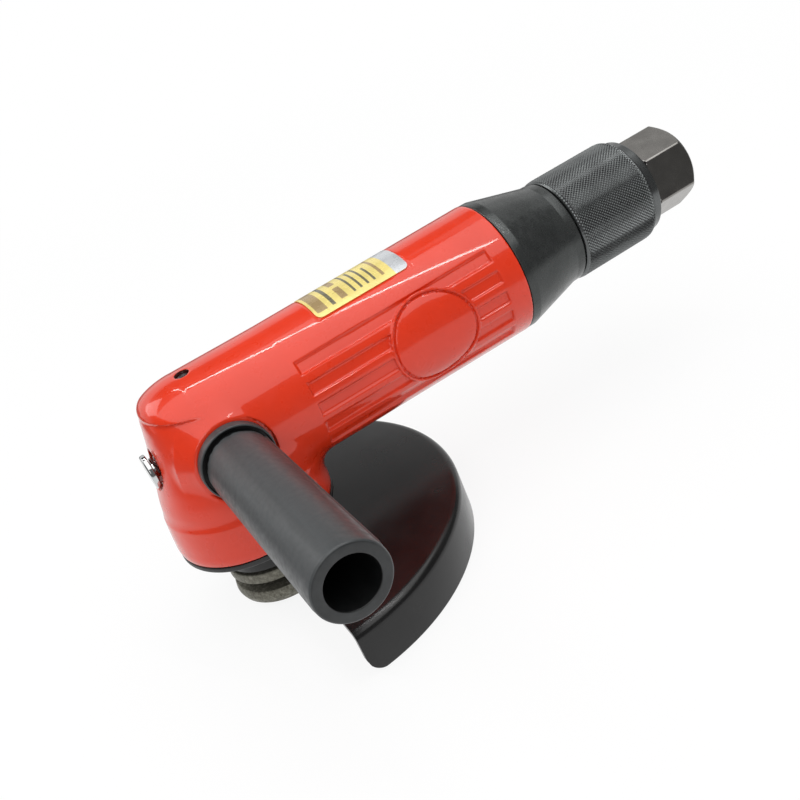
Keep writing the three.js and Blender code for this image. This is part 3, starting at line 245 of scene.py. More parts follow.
# the round disc: its place and angle, and the radii of its edge, groove, ridge and clear field
DISC_X, DISC_ANGLE, DISC_R, GROOVE_R, RIDGE_R, DISC_CLEAR_R = 79.5, 2.0, 15.9, 16.0, 16.85, 17.2
GROOVE_HALF, GROOVE_DEPTH, RIDGE_HALF = 0.38, 0.7, 0.5
# the label's recess: its ends, half width and depth
RECESS_START, RECESS_END, RECESS_HALF, RECESS_DEPTH = 47.0, 85.2, 12.7, 0.3


def rear_radius(x):
    """Radius of the barrel, which widens slightly to the rear."""
    return WAIST_R + REAR_GROWTH * (x - WAIST_X) / (BARREL_END - WAIST_X)


def spline(knots, at):
    """A smooth curve through knots, with the slope at each taken from its neighbours."""
    x = np.array([k[0] for k in knots], float)
    y = np.array([k[1] for k in knots], float)
    slope = np.gradient(y, x)
    i = np.clip(np.searchsorted(x, at) - 1, 0, len(x) - 2)
    span = x[i + 1] - x[i]
    t = np.clip((at - x[i]) / span, 0, 1)
    a, b = y[i], y[i + 1]
    m, n = slope[i] * span, slope[i + 1] * span
    return ((2 * t**3 - 3 * t**2 + 1) * a + (t**3 - 2 * t**2 + t) * m
            + (3 * t**2 - 2 * t**3) * b + (t**3 - t**2) * n)


def housing_field(x, y, z):
    """Signed distance to the red casting, in millimetres, with z from the motor axis.

    Factors just below one keep slanted walls at their true distance.
    """
    radial = np.hypot(y, z)
    side = np.abs(y)
    across = np.hypot(x, z)
    plan = np.hypot(x, y)
    front_r = WAIST_R + FRONT_GROWTH * (WAIST_X - x) / FRONT_LENGTH
    rear_r = np.where(x > WAIST_X, rear_radius(x), front_r)
    # barrel with its rounded nose
    nose = x < BARREL_START
    nose_reach = np.clip((BARREL_START - x) / NOSE_LENGTH, 0, 1)
    nose_r = NOSE_R - NOSE_DROP * (1 - np.sqrt(np.clip(1 - nose_reach**2, 0, 1)))
    barrel = radial - np.where(nose, nose_r, rear_r)
    nose_plan = np.where(nose, np.hypot(x, 0.92 * y) - NOSE_PLAN_R, -9)
    barrel = smooth_max(barrel, nose_plan, 2.4)
    barrel = smooth_max(barrel, x - BARREL_END, 0.5)
    shelf = SHELF_Z - SHELF_SLOPE * (x - BARREL_START)
    barrel = smooth_max(barrel, smooth_min(BARREL_START - x, shelf - z, 1.0), 0.8)
    # bell of the head, which ends inside the barrel
    front, flank, power = [
        spline([(k[0], k[i]) for k in HEAD_SECTIONS], np.clip(z, SHOULDER, HEAD_TOP))
        for i in (1, 2, 3)]
    around = np.maximum(plan, 0.01)
    reach = (np.abs(x) / around / front) ** power + (side / around / flank) ** power
    reach = np.maximum(reach, 1e-6) ** (-1 / power)
    low_r = spline(HEAD_LOW, np.clip(z, HEAD_LOWEST, SHOULDER))
    bell = (plan - np.where(z < SHOULDER, low_r, reach)) * 0.96
    bell = smooth_max(bell, np.maximum(HEAD_END - z, z - HEAD_TOP), 0.4)
    bell = smooth_max(bell, radial - CONE_R - np.maximum(CONE_Z - z, 0), 1.0)
    body = smooth_min(barrel, bell, 0.8 + 6.5 * step(4, 18, x) * step(-4, 9, -z))
    # bosses with their conical shoulders, and the seats of the collars
    cone = BOSS_R + (BOSS_FACE - side) * 0.74
    boss = smooth_max((across - np.clip(cone, BOSS_R, BOSS_ROOT_R)) * 0.85, side - BOSS_FACE, 0.5)
    body = smooth_min(body, np.maximum(boss, BOSS_START - side), 1.4)
    seat = np.maximum(across - SEAT_R, BOSS_FACE - side)
    return smooth_max(body, -seat, 0.6)


def fluted(field, x, y, z):
    """The casting with its flutes, discs and label recess cut."""
    rear_r = np.where(x > WAIST_X, rear_radius(x), WAIST_R)
    depth = np.hypot(y, z) - rear_r
    angle = np.degrees(np.arctan2(z, np.abs(y)))
    from_disc = np.hypot(x - DISC_X, np.radians(angle - DISC_ANGLE) * rear_r)
    for middle in FLUTES:
        u = np.abs(np.radians(angle - middle) * rear_r)
        slot = np.maximum(u - FLUTE_HALF, np.maximum(FLUTE_START - x, x - FLUTE_END))
        slot = np.maximum((slot - 0.55 * depth) * 0.88, DISC_CLEAR_R - from_disc)
        slot = smooth_max(slot, -(depth + FLUTE_DEPTH), 0.4)
        field = smooth_max(field, -slot, 0.3)
    # the near disc is domed, and the far one is only ringed by its groove and ridge
    dome = 0.45 - 0.6 * np.clip(from_disc / 15.7, 0, 1.3) ** 8
    disc = smooth_min(field, np.maximum(depth - dome, from_disc - DISC_R), 0.3)
    field = np.where(y < 0, disc, field)
    groove = np.abs(from_disc - GROOVE_R) - GROOVE_HALF
    groove = smooth_max(groove, -(depth + GROOVE_DEPTH), 0.3)
    field = smooth_max(field, -groove, 0.3)
    ridge = np.hypot(from_disc - RIDGE_R, depth + 0.1) - RIDGE_HALF
    field = smooth_min(field, ridge, 0.25)
    u = np.radians(np.abs(np.degrees(np.arctan2(y, z)))) * rear_r - RECESS_HALF
    u = np.maximum(u, np.maximum(RECESS_START - x, x - RECESS_END))
    return smooth_max(field, -np.maximum(u, -(depth + RECESS_DEPTH)), 0.15)


def cavities(field, x, y, z):
    """The bores and rooms inside the casting."""
    radial, plan, across = np.hypot(y, z), np.hypot(x, y), np.hypot(x, z)
    rooms = [  # distance from the room's axis, place along it, radius, low end and high end
        (radial, x, 22.0, 31.0, 125),
        (radial, x, 11.5, 9.0, 33),
        (plan, z, 20.8, -40, -7.0),
        (plan, z, 12.5, -12, 8.7),
        (plan, z, 11.05, 8, 16.3),
        (across, np.abs(y), 4.3, 14.0, 30),
    ]
    outer = [  # the grease hole, and the button's three steps
        (plan, z, 2.65, 14, 60),
        (radial, x, 7.1, -40, -20.0),
        (radial, x, 5.2, -22, -15.5),
        (radial, x, 2.3, -17, -10.5),
    ]
    for away, along, r, low, high in rooms:
        field = np.maximum(field, -np.maximum(away - r, np.maximum(low - along, along - high)))
    for away, along, r, low, high in outer:
        hole = np.maximum(away - r, np.maximum(low - along, along - high))
        field = smooth_max(field, -hole, 0.3)
    return field


def casting(x, y, z):
    return cavities(fluted(housing_field(x, y, z), x, y, z), x, y, z)


CORNERS = [(dx, dy, dz) for dx in (0, 1) for dy in (0, 1) for dz in (0, 1)]


def surface_net(field, low, high, h):
    """Vertices and quads of the zero surface of a field, found in a band round it only."""
    coarse = 4  # fine steps to a coarse one
    band = 1.9  # half the band's width in coarse steps
    counts = [int(math.ceil((b - a) / (h * coarse))) for a, b in zip(low, high)]
    axes = [a + np.arange(n + 1) * h * coarse for a, n in zip(low, counts)]
    grid = np.meshgrid(*axes, indexing="ij")
    rough = field(*[g.ravel() for g in grid]).reshape(grid[0].shape)
    near = np.abs(rough) < h * coarse * band
    cells = np.zeros(counts, bool)
    for dx, dy, dz in CORNERS:
        cells |= near[dx:dx + counts[0], dy:dy + counts[1], dz:dz + counts[2]]

    def refined(block):
        for axis in range(3):
            block = np.repeat(block, coarse, axis)
        return np.pad(block, ((0, 1),) * 3, mode="edge")

    values = refined(rough[:-1, :-1, :-1]).astype(np.float32)
    mask = refined(cells)
    for axis in range(3):
        shifted = np.roll(mask, 1, axis)
        index = [slice(None)] * 3
        index[axis] = slice(0, 1)
        shifted[tuple(index)] = False
        mask = mask | shifted
    where = np.argwhere(mask)
    pts = where * h + np.array(low)
    values[tuple(where.T)] = field(pts[:, 0], pts[:, 1], pts[:, 2])
    inside = values < 0
    nx, ny, nz = [n * coarse for n in counts]
    total = np.zeros((nx, ny, nz), np.int8)
    for dx, dy, dz in CORNERS:
        total += inside[dx:dx + nx, dy:dy + ny, dz:dz + nz]
    cell_at = np.argwhere((total > 0) & (total < len(CORNERS)))
    number = -np.ones((nx, ny, nz), np.int64)
    number[tuple(cell_at.T)] = np.arange(len(cell_at))
    # average of the crossings on each cell's edges
    corner = {c: values[tuple((cell_at + c).T)] for c in CORNERS}
    sums = np.zeros((len(cell_at), 3))
    hits = np.zeros(len(cell_at))
    for a in corner:
        for axis in range(3):
            if a[axis]:
                continue
            b = tuple(v + (i == axis) for i, v in enumerate(a))
            va, vb = corner[a], corner[b]
            cross = (va < 0) != (vb < 0)
            t = np.where(cross, va / np.where(cross, va - vb, 1), 0)
            at = np.array(a, float) + t[:, None] * np.eye(3)[axis]
            sums += np.where(cross[:, None], at, 0)
            hits += cross
    points = (cell_at + sums / hits[:, None]) * h + np.array(low)
    # one quad for each grid edge that the surface crosses
    quads = []
    for axis in range(3):
        u, v = (axis + 1) % 3, (axis + 2) % 3
        lo, hi = [slice(1, -1)] * 3, [slice(1, -1)] * 3
        lo[axis], hi[axis] = slice(0, -1), slice(1, None)
        first, second = inside[tuple(lo)], inside[tuple(hi)]
        flips = np.argwhere(first != second)
        base = flips + 1
        base[:, axis] -= 1
        sign = first[tuple(flips.T)]
        du, dv = np.eye(3, dtype=int)[u], np.eye(3, dtype=int)[v]
        quad = np.stack([number[tuple((base - i * du - j * dv).T)]
                         for i, j in ((1, 1), (0, 1), (0, 0), (1, 0))], 1)
        quads.append(np.where(sign[:, None], quad, quad[:, ::-1]))
    return points, np.concatenate(quads)


def gradient(field, p):
    e = 0.05  # half the distance between the two samples
    g = np.empty_like(p)
    for axis in range(3):
        d = np.zeros(3)
        d[axis] = e
        g[:, axis] = field(*(p + d).T) - field(*(p - d).T)
    return g / (2 * e)


# ---- materials
def maths(tree, operation, a, b=0.0):
    """The result of a Math node on two sockets or numbers."""
    node = tree.nodes.new("ShaderNodeMath")
    node.operation = operation
    for socket, value in zip(node.inputs, (a, b)):
        if isinstance(value, (int, float)):
            socket.default_value = value
        else:
            tree.links.new(value, socket)
    return node.outputs[0]


LOOKS = {}  # the finished materials by name


class Look:
    """A Principled material with a few ready-made procedural parts."""

    def __init__(self, name, color, roughness, metallic=0.0, **more):
        material = LOOKS[name] = bpy.data.materials.new(name)
        material.use_nodes = True
        self.tree = material.node_tree
        self.shader = self.tree.nodes["Principled BSDF"]
        self.color = color
        self.shader.inputs["Base Color"].default_value = (*color, 1)
        self.shader.inputs["Metallic"].default_value = metallic
        self.shader.inputs["Roughness"].default_value = roughness
        for key, value in more.items():
            self.shader.inputs[key.replace("_", " ")].default_value = value
        self.coords = self.tree.nodes.new("ShaderNodeTexCoord").outputs["Object"]
        self.relief = None  # the normal of the last bump

    def link(self, a, b):
        self.tree.links.new(a, b)

    def noise(self, scale, detail=3.0, rough=0.55, stretch=(1, 1, 1)):
        place = self.tree.nodes.new("ShaderNodeMapping")
        place.inputs["Scale"].default_value = stretch
        self.link(self.coords, place.inputs["Vector"])
        node = self.tree.nodes.new("ShaderNodeTexNoise")
        node.inputs["Scale"].default_value = scale
        node.inputs["Detail"].default_value = detail
        node.inputs["Roughness"].default_value = rough
        self.link(place.outputs["Vector"], node.inputs["Vector"])
        return node.outputs["Fac"]

    def rings(self, axis, scale, distortion):
        node = self.tree.nodes.new("ShaderNodeTexWave")
        node.wave_type = "BANDS"
        node.bands_direction = axis
        node.inputs["Scale"].default_value = scale
        node.inputs["Distortion"].default_value = distortion
        self.link(self.coords, node.inputs["Vector"])
        return node.outputs["Fac"]

    def ramp(self, fac, *stops):
        node = self.tree.nodes.new("ShaderNodeValToRGB")
        ramp = node.color_ramp
        while len(ramp.elements) < len(stops):
            ramp.elements.new(0.5)
        for element, (at, value) in zip(ramp.elements, stops):
            element.position = at
            element.color = (*value, 1) if hasattr(value, "__len__") else (value, value, value, 1)
        self.link(fac, node.inputs["Fac"])
        return node.outputs["Color"]

    def paint(self, fac, *stops):
        """Colours from stops of (place in the texture, colour)."""
        self.link(self.ramp(fac, *stops), self.shader.inputs["Base Color"])

    def mottle(self, fac, share, low_at=0.3, high_at=0.7):
        """Paints the colour a share darker where the texture is low, and lighter where high."""
        dark = tuple(c * (1 - share) for c in self.color)
        pale = tuple(min(c * (1 + share), 1) for c in self.color)
        self.paint(fac, (low_at, dark), (high_at, pale))

    def darken(self, axis, centre, r, low, high, share):
        """Leaves a share of the colour inside a cylinder along an axis, given in millimetres:
        painted shade in bores, recesses and gaps.
        """
        split = self.tree.nodes.new("ShaderNodeSeparateXYZ")
        self.link(self.coords, split.inputs[0])
        along = "XYZ".index(axis)
        apart = [maths(self.tree, "SUBTRACT", split.outputs[i], centre[i] * MM) for i in range(3)
                 if i != along]
        away = maths(self.tree, "ADD", *[maths(self.tree, "MULTIPLY", v, v) for v in apart])
        near = maths(self.tree, "LESS_THAN", away, (r * MM) ** 2)
        middle = maths(self.tree, "SUBTRACT", split.outputs[along], (low + high) / 2 * MM)
        reach = maths(self.tree, "ABSOLUTE", middle)
        within = maths(self.tree, "LESS_THAN", reach, (high - low) / 2 * MM)
        amount = maths(self.tree, "MULTIPLY", maths(self.tree, "MULTIPLY", near, within), 1 - share)
        mix = self.tree.nodes.new("ShaderNodeMixRGB")
        mix.inputs["Color2"].default_value = (0, 0, 0, 1)
        color = self.shader.inputs["Base Color"]
        self.link(color.links[0].from_socket, mix.inputs["Color1"])
        self.link(amount, mix.inputs["Fac"])
        self.link(mix.outputs["Color"], color)

    def polish(self, fac, low, high, low_at=0.3, high_at=0.7):
        """Roughness from low to high as the texture goes from low_at to high_at."""
        stops = (low_at, low), (high_at, high)
        self.link(self.ramp(fac, *stops), self.shader.inputs["Roughness"])

    def bump(self, fac, strength, distance=0.0001):
        """Relief from a texture, with its height in metres."""
        node = self.tree.nodes.new("ShaderNodeBump")
        node.inputs["Strength"].default_value = strength
        node.inputs["Distance"].default_value = distance
        self.link(fac, node.inputs["Height"])
        if self.relief:
            self.link(self.relief, node.inputs["Normal"])
        self.relief = node.outputs["Normal"]
        self.link(self.relief, self.shader.inputs["Normal"])
        return self


def make_looks():
    red = Look("red_enamel", (0.68, 0.034, 0.008), roughness=0.3, Coat_Weight=0.75,
               Coat_Roughness=0.05, Specular_IOR_Level=0.2)
    red.mottle(red.noise(28, 2), 0.06)
    # painted shade: the walls of the lock button's bore keep 8 % of the colour, as shade inside the
    # bore
    red.darken("X", (0, 0, AXIS_Z), 6.8, -24.5, -8, 0.08)
    # painted shade: the walls of the grease hole keep 6 % of the colour, as shade inside the hole
    red.darken("Z", (0, 0, 0), 2.8, AXIS_Z + 20, AXIS_Z + 25.25, 0.06)
    red.polish(red.noise(160, 3), 0.26, 0.4, 0.35, 0.75)
    red.bump(red.noise(110, 3), 0.26, 0.0006).bump(red.noise(900, 2), 0.035, 0.0002)

    black = Look("black_finish", (0.062, 0.066, 0.065), metallic=0.7, roughness=0.22)
    black.mottle(black.noise(60, 4), 0.25)
    black.polish(black.noise(420, 3), 0.2, 0.34)
    black.bump(black.rings("X", 900, 0.6), 0.08).bump(black.noise(1500, 2), 0.06)

    knurl = Look("black_knurl", (0.13, 0.137, 0.137), metallic=0.9, roughness=0.2)
    knurl.mottle(knurl.noise(90, 3), 0.15)
    knurl.polish(knurl.noise(60, 2), 0.16, 0.23)

    # painted shade: a near-black copy of the black finish for the bearing plate and its neck under
    # the head, which lie in shade
    shade = Look("black_painted_shade", (0.012, 0.012, 0.012), roughness=0.42)
    shade.mottle(shade.noise(300, 4), 0.3)
    shade.polish(shade.noise(600, 3), 0.34, 0.5)
    shade.bump(shade.noise(1200, 3), 0.1)

    gloss = Look("black_gloss", (0.007, 0.007, 0.007), roughness=0.24, Specular_IOR_Level=0.42)
    gloss.mottle(gloss.noise(50, 3), 0.3)
    gloss.polish(gloss.noise(70, 3), 0.2, 0.3, 0.35, 0.72)
    gloss.bump(gloss.noise(900, 2), 0.03)

    grey = Look("grey_plastic", (0.046, 0.05, 0.052), roughness=0.42)
    streaks = grey.noise(120, 4, 0.6, (1, 0.06, 1))
    grey.mottle(streaks, 0.28, 0.32, 0.68)
    grey.polish(grey.noise(500, 3), 0.34, 0.5)
    # painted shade: the grip's bore keeps a tenth of the colour, as shade inside it
    grey.darken("Y", (0, 0, AXIS_Z), 8.55, -113, -44, 0.1)
    # painted shade: the grip's end face keeps half its colour, as the shade that falls on that side
    grey.darken("Y", (0, 0, AXIS_Z), 11.7, -113, -112.25, 0.5)
    # painted shade: the recess between the collar and the grip keeps 12 % of the colour, as shade
    # in the groove
    grey.darken("Y", (0, 0, AXIS_Z), 12.5, -28.35, -25.2, 0.12)
    grey.bump(streaks, 0.16, 0.0003).bump(grey.noise(1800, 2), 0.08)

    chrome = Look("chrome", (0.62, 0.63, 0.63), metallic=1.0, roughness=0.1)
    chrome.polish(chrome.noise(700, 3), 0.07, 0.22, 0.4, 0.75)
    chrome.bump(chrome.noise(500, 2), 0.06, 0.0002)

    dark = Look("dark_steel", (0.28, 0.27, 0.255), metallic=1.0, roughness=0.3)
    dark.mottle(dark.noise(180, 4), 0.1)
    dark.polish(dark.noise(220, 4), 0.16, 0.24, 0.3, 0.72)
    dark.bump(dark.noise(1200, 3), 0.08)

    steel = Look("grey_steel", (0.2, 0.19, 0.155), metallic=0.6, roughness=0.5)
    steel.paint(steel.noise(900, 5, 0.75), (0.3, (0.07, 0.065, 0.05)), (0.5, (0.155, 0.15, 0.12)),
                (0.72, (0.3, 0.29, 0.245)))
    # painted shade: the faces in the gap between the inner flange and the nut keep 6 % of the
    # colour, as shade in the gap
    steel.darken("Z", (0, 0, 0), 12.0, AXIS_Z - 57.6, AXIS_Z - 53.5, 0.06)
    steel.polish(steel.noise(600, 4), 0.38, 0.62)
    steel.bump(steel.noise(1600, 4, 0.7), 0.3, 0.00018)

    bright = Look("bright_steel", (0.56, 0.57, 0.58), metallic=1.0, roughness=0.25)
    bright.mottle(bright.noise(300, 3), 0.1)
    bright.polish(bright.noise(800, 3), 0.18, 0.34)
    bright.bump(bright.noise(1500, 2, 0.5, (1, 1, 0.1)), 0.06)

    iron = Look("cast_iron", (0.2, 0.19, 0.175), metallic=0.7, roughness=0.5)
    iron.mottle(iron.noise(700, 4), 0.25)
    iron.polish(iron.noise(900, 3), 0.4, 0.6)
    iron.bump(iron.noise(1400, 3), 0.15)

    brass = Look("brass", (0.62, 0.42, 0.16), metallic=1.0, roughness=0.28)
    brass.mottle(brass.noise(400, 3), 0.14)
    brass.polish(brass.noise(900, 3), 0.2, 0.38)
    brass.bump(brass.noise(1300, 2), 0.08)

    rubber = Look("rubber", (0.014, 0.014, 0.014), roughness=0.7)
    rubber.polish(rubber.noise(900, 3), 0.6, 0.82)
    rubber.bump(rubber.noise(1500, 3), 0.15)

    resin = Look("vane_resin", (0.2, 0.1, 0.04), roughness=0.6)
    resin.mottle(resin.noise(600, 4, 0.6, (0.2, 1, 1)), 0.3)
    resin.polish(resin.noise(900, 3), 0.5, 0.7)
    resin.bump(resin.noise(1200, 3), 0.1)

    felt = Look("felt", (0.36, 0.33, 0.29), roughness=0.95, Sheen_Weight=0.4)
    felt.mottle(felt.noise(1400, 5, 0.8), 0.2)
    felt.bump(felt.noise(1800, 5, 0.8), 0.5, 0.0003)

    for name, color, metallic in (
        ("label_foil", (0.80, 0.66, 0.22), 0.1),
        ("label_silver", (0.58, 0.60, 0.62), 0.3),
        ("label_brown", (0.38, 0.27, 0.13), 0.1),
        ("label_dark", (0.16, 0.15, 0.10), 0.1),
    ):
        foil = Look(name, color, metallic=metallic, roughness=0.28)
        foil.mottle(foil.noise(120, 3), 0.08)
        foil.polish(foil.noise(300, 3), 0.2, 0.36, 0.35, 0.7)
        foil.bump(foil.noise(150, 2), 0.05, 0.0003)


make_looks()


def dress_cad():
    """Every CAD node gets its slot's procedural material."""
    for name, node in frame["nodes"].items():
        node.data.materials.clear()
        node.data.materials.append(LOOKS[SLOTS[name]])
        for polygon in node.data.polygons:
            polygon.material_index = 0


# ---- the pieces, in millimetres, with outlines of (place along the axis, radius, corner radius)
def build_housing():
    low, high = (-30.0, -31.0, -36.0), (120.0, 31.0, 27.5)  # the field's box round the casting
    h = 0.5  # the finest step of the field's grid
    rounds, most, flattest = 3, 0.4 * h, 0.2  # rounds of settling, longest move, least slope
    points, quads = surface_net(casting, low, high, h)
    for _ in range(rounds):
        g = gradient(casting, points)
        slope = np.maximum(np.linalg.norm(g, axis=1), flattest)
        points -= g * np.clip(casting(*points.T) / slope**2, -most, most)[:, None]
    mesh = bpy.data.meshes.new("housing_casting")
    placed = (points + np.array([0, 0, AXIS_Z])) * MM
    mesh.vertices.add(len(placed))
    mesh.vertices.foreach_set("co", placed.astype(np.float32).ravel())
    mesh.loops.add(len(quads) * 4)
    mesh.loops.foreach_set("vertex_index", quads.astype(np.int32).ravel())
    mesh.polygons.add(len(quads))
    mesh.polygons.foreach_set("loop_start", np.arange(0, len(quads) * 4, 4, dtype=np.int32))
    mesh.update(calc_edges=True)
    mesh.validate()
    shade(mesh, 40)
    mesh.update()
    mesh.materials.append(LOOKS["red_enamel"])
    stand_for(link_object("housing_casting", mesh), "housing", "frame")


def build_label():
    """A curved foil on top of the barrel, laid out in plain blocks and bars."""
    x0, x1, half = 47.5, 84.7, 27.0  # ends in millimetres and half width in degrees
    sunk, thick = 0.2, 0.28  # its underside below the barrel's radius, and its thickness
    edge, middle_r = 2.2, 25.4  # radii of its corners and of its curve
    foil, silver, brown, dark = range(4)
    blocks = [  # x from, x to, angle from, angle to, finish
        (79.2, x1, -half, half, silver),
        (48.6, 52.6, -22, 21, brown),
        (54.6, 56.0, -22, 21, dark),
        (58.5, 61.0, -21, -4, brown),
        (58.5, 61.0, 2, 21, brown),
        (63.6, 64.5, -21, 21, dark),
        (66.3, 67.2, -21, 12, dark),
        (69.0, 69.9, -21, 17, dark),
        (71.7, 72.6, -21, 3, dark),
        (75.0, 76.2, -21, 21, brown),
    ]
    corner = np.array([0, 0.25, 0.6, 1.1, 1.6]) * edge / 1.6
    xs = set([x0, x1]) | {x0 + c for c in corner} | {x1 - c for c in corner}
    xs |= {b[0] for b in blocks} | {b[1] for b in blocks}
    angles = set(np.linspace(-half, half, 37))
    angles |= {float(b[2]) for b in blocks} | {float(b[3]) for b in blocks}
    xs, angles = sorted(xs), sorted(angles)

    def inset(x):
        """How far the rounded corners pull the side in, in degrees."""
        left = max(edge - min(x - x0, x1 - x), 0)
        return math.degrees((edge - math.sqrt(max(edge**2 - left**2, 0))) / middle_r)

    points, faces, finish = [], [], []
    n = len(angles)
    for level in (0.0, thick):
        for x in xs:
            span = (half - inset(x)) / half
            for a in angles:
                r = rear_radius(x) - sunk + level
                t = math.radians(a * span)
                points.append((x, r * math.sin(t), AXIS_Z + r * math.cos(t)))
    base = len(xs) * n
    for i in range(len(xs) - 1):
        for j in range(n - 1):
            a, b, c, d = i * n + j, (i + 1) * n + j, (i + 1) * n + j + 1, i * n + j + 1
            faces.append((a, b, c, d))
            finish.append(foil)
            faces.append((base + d, base + c, base + b, base + a))
            xm, am = (xs[i] + xs[i + 1]) / 2, (angles[j] + angles[j + 1]) / 2
            kind = foil
            for bx0, bx1, a0, a1, k in blocks:
                if bx0 < xm < bx1 and a0 < am < a1:
                    kind = k
            finish.append(kind)
    border = [i * n for i in range(len(xs))] + [(len(xs) - 1) * n + j for j in range(1, n)]
    border += [i * n + n - 1 for i in range(len(xs) - 2, -1, -1)] + [j for j in range(n - 2, 0, -1)]
    for k, a in enumerate(border):
        b = border[(k + 1) % len(border)]
        faces.append((a, b, base + b, base + a))
        finish.append(foil)
    piece = add_piece("label_sheet", points, faces, "frame", "label_foil", "label_plate", 50)
    for name in ("label_silver", "label_brown", "label_dark"):
        piece.data.materials.append(LOOKS[name])
    piece.data.polygons.foreach_set("material_index", np.array(finish, np.int32))


def build_handle():
    turned_piece("side_handle_collar", [
        (-23.05, 4.3), (-23.05, 13.1, 0.5), (-27.0, 13.1, 0.5), (-27.0, 12.4, 0.25),
        (-25.4, 12.4, 0.2), (-25.4, 4.3),
    ], "Y", "frame", "grey_plastic", "handle_collar")
    root, end = -28.2, -112.4
    outline = rounded([
        (-25.55, 4.3), (-25.55, 10.9), (root, 10.9), (root - 0.3, 11.45, 0.15), (end, 12.12, 0.9),
        (end, 8.35, 0.4), (-46.0, 8.2, 0.4), (-46.0, 4.3),
    ], 7)
    longest = 3  # the outline's lines are split into pieces of at most about twice this
    dense = []
    for i, (a, r) in enumerate(outline):
        b, q = outline[(i + 1) % len(outline)]
        count = max(1, int(abs(b - a) / longest))
        dense += [(a + (b - a) * k / count, r + (q - r) * k / count) for k in range(count)]
    points, faces = lathe(dense, "Y", 144)
    rel = points - np.array([0, 0, AXIS_Z])
    angle = np.degrees(np.arctan2(rel[:, 2], rel[:, 0]))
    r = np.hypot(rel[:, 0], rel[:, 2])
    # two moulding ridges along the outside, each with a shallow furrow beside it
    lift = np.zeros(len(r))
    for ridge in (20.0, 196.0):
        off = (angle - ridge + 180) % 360 - 180
        lift += 0.4 * np.exp(-((off / 1.5) ** 2)) - 0.2 * np.exp(-(((off - 5) / 1.8) ** 2))
    lift *= (r > 11) & (rel[:, 1] > -109)
    rel[:, ::2] *= ((r + lift) / np.maximum(r, 1e-6))[:, None]
    # small uneven nicks round its root
    nicks = sum(math.sin(n) * np.cos(np.radians(angle) * n + n * n) for n in range(5, 34, 3))
    at_root = np.exp(-(((rel[:, 1] - root + 0.2) / 0.5) ** 2)) * (rel[:, 1] < -27)
    rel[:, 1] += at_root * 0.11 * nicks
    add_piece("side_handle_grip", rel + np.array([0, 0, AXIS_Z]), faces, "frame", "grey_plastic",
              "handle_grip", 40)


def rings_along_x(along, turns, side=1):
    """Points of rings (place along X, radii) round the motor axis."""
    return np.concatenate([
        np.stack([np.full(len(turns), a), side * r * np.cos(turns), AXIS_Z + r * np.sin(turns)], 1)
        for a, r in along])


def build_cover():
    turned_piece("rear_cover", [
        (118.6, 21.7), (118.6, 25.85, 0.35), (122.0, 25.8, 0.9), (141.2, 20.95, 3.0),
        (144.0, 20.25, 2.0), (147.7, 20.05, 0.5), (147.7, 16.6, 0.3), (142.0, 16.6), (139.6, 18.6),
        (121.0, 23.4), (119.6, 19.7), (112.0, 19.7), (112.0, 21.7),
    ], "X", "frame", "black_finish", "exhaust_cover", steps=180)


def build_throttle_grip():
    """The ring with its diamond knurl, whose pyramids come from two crossing waves."""
    start, end, lip_end, bore_r = 148.3, 181.9, 185.7, 13.9
    diamonds, per_diamond = 96, 6  # diamonds round the ring, and points to each
    root_r, knurl_height, edge_r = 20.1, 0.58, 20.45
    steps = diamonds * per_diamond
    u_turn = np.linspace(0, 1, steps, endpoint=False) * diamonds
    pitch = 2 * PI * 20.4 / diamonds
    knurl_x = np.arange(start + 1.0, end - 1.0, pitch / per_diamond)
    head = [(start, bore_r), (start, 19.6), (start + 0.15, 19.95), (start + 0.8, edge_r)]
    along = [(a, np.full(steps, r)) for a, r in head]
    for x in knurl_x:
        p = (x - knurl_x[0]) / pitch
        first = np.abs(((u_turn + p) % 1) - 0.5) * 2
        second = np.abs(((u_turn - p) % 1) - 0.5) * 2
        height = np.minimum(first, second)
        fade = min(1.0, (x - start - 0.6) / 1.0, (end - 0.6 - x) / 1.0)
        along.append((x, root_r + knurl_height * height * fade + 0.3 * (1 - fade)))
    tail = rounded([
        (end - 0.8, edge_r), (end - 0.15, 19.95), (end, 19.6), (end, 18.9, 0.3),
        (lip_end, 18.9, 0.7), (lip_end, bore_r),
    ])
    along += [(a, np.full(steps, r)) for a, r in tail]
    points = rings_along_x(along, u_turn / diamonds * 2 * PI)
    add_piece("throttle_grip", points, ring_faces(len(along), steps), "throttle", "black_finish",
              "throttle_ring", look="black_knurl")


def build_inlet():
    """The hexagon, with its corners rounded and both its ends chamfered."""
    front, rear, bore_r = 186.3, 207.0, 5.9
    apothem, corner_r, turned = 14.5, 16.62, math.radians(17)
    steps = 360
    turns = np.linspace(0, 2 * PI, steps, endpoint=False)
    off = (turns + turned) % (PI / 3) - PI / 6
    hexagon = smooth_min(apothem / np.cos(off), np.full(steps, corner_r), 0.25)
    neck = [(176.3, 8.1), (176.3, 9.6), (176.7, 10.0), (front, 10.0), (front, 13.2)]
    along = [(a, np.full(steps, float(r))) for a, r in neck]
    for a in np.linspace(front, 188.2, 6):
        chamfer = 13.9 + (a - front) * 1.9
        along.append((a, smooth_min(hexagon, np.full(steps, chamfer), 0.2)))
    along.append((203.2, hexagon))
    for a in np.linspace(203.6, 206.9, 12):
        chamfer = 17.4 - (a - 203.4) * 1.08
        along.append((a, smooth_min(hexagon, np.full(steps, chamfer), 0.25)))
    mouth = [(rear, 13.3), (rear, bore_r + 1, 0.2), (rear - 1, bore_r), (190.0, bore_r),
             (190.0, 8.1)]
    along += [(a, np.full(steps, r)) for a, r in rounded(mouth)]
    add_piece("inlet_hexagon", rings_along_x(along, turns, -1), ring_faces(len(along), steps),
              "frame", "dark_steel", "inlet_adapter", 30)


def hole_circle(profile, circle_r, angles, steps):
    """Cutters for upright holes at angles in degrees on a circle round the spindle."""
    return [lathe(profile, "Z", steps, (circle_r * math.cos(t), circle_r * math.sin(t), AXIS_Z),
                  closed=False) for t in map(math.radians, angles)]


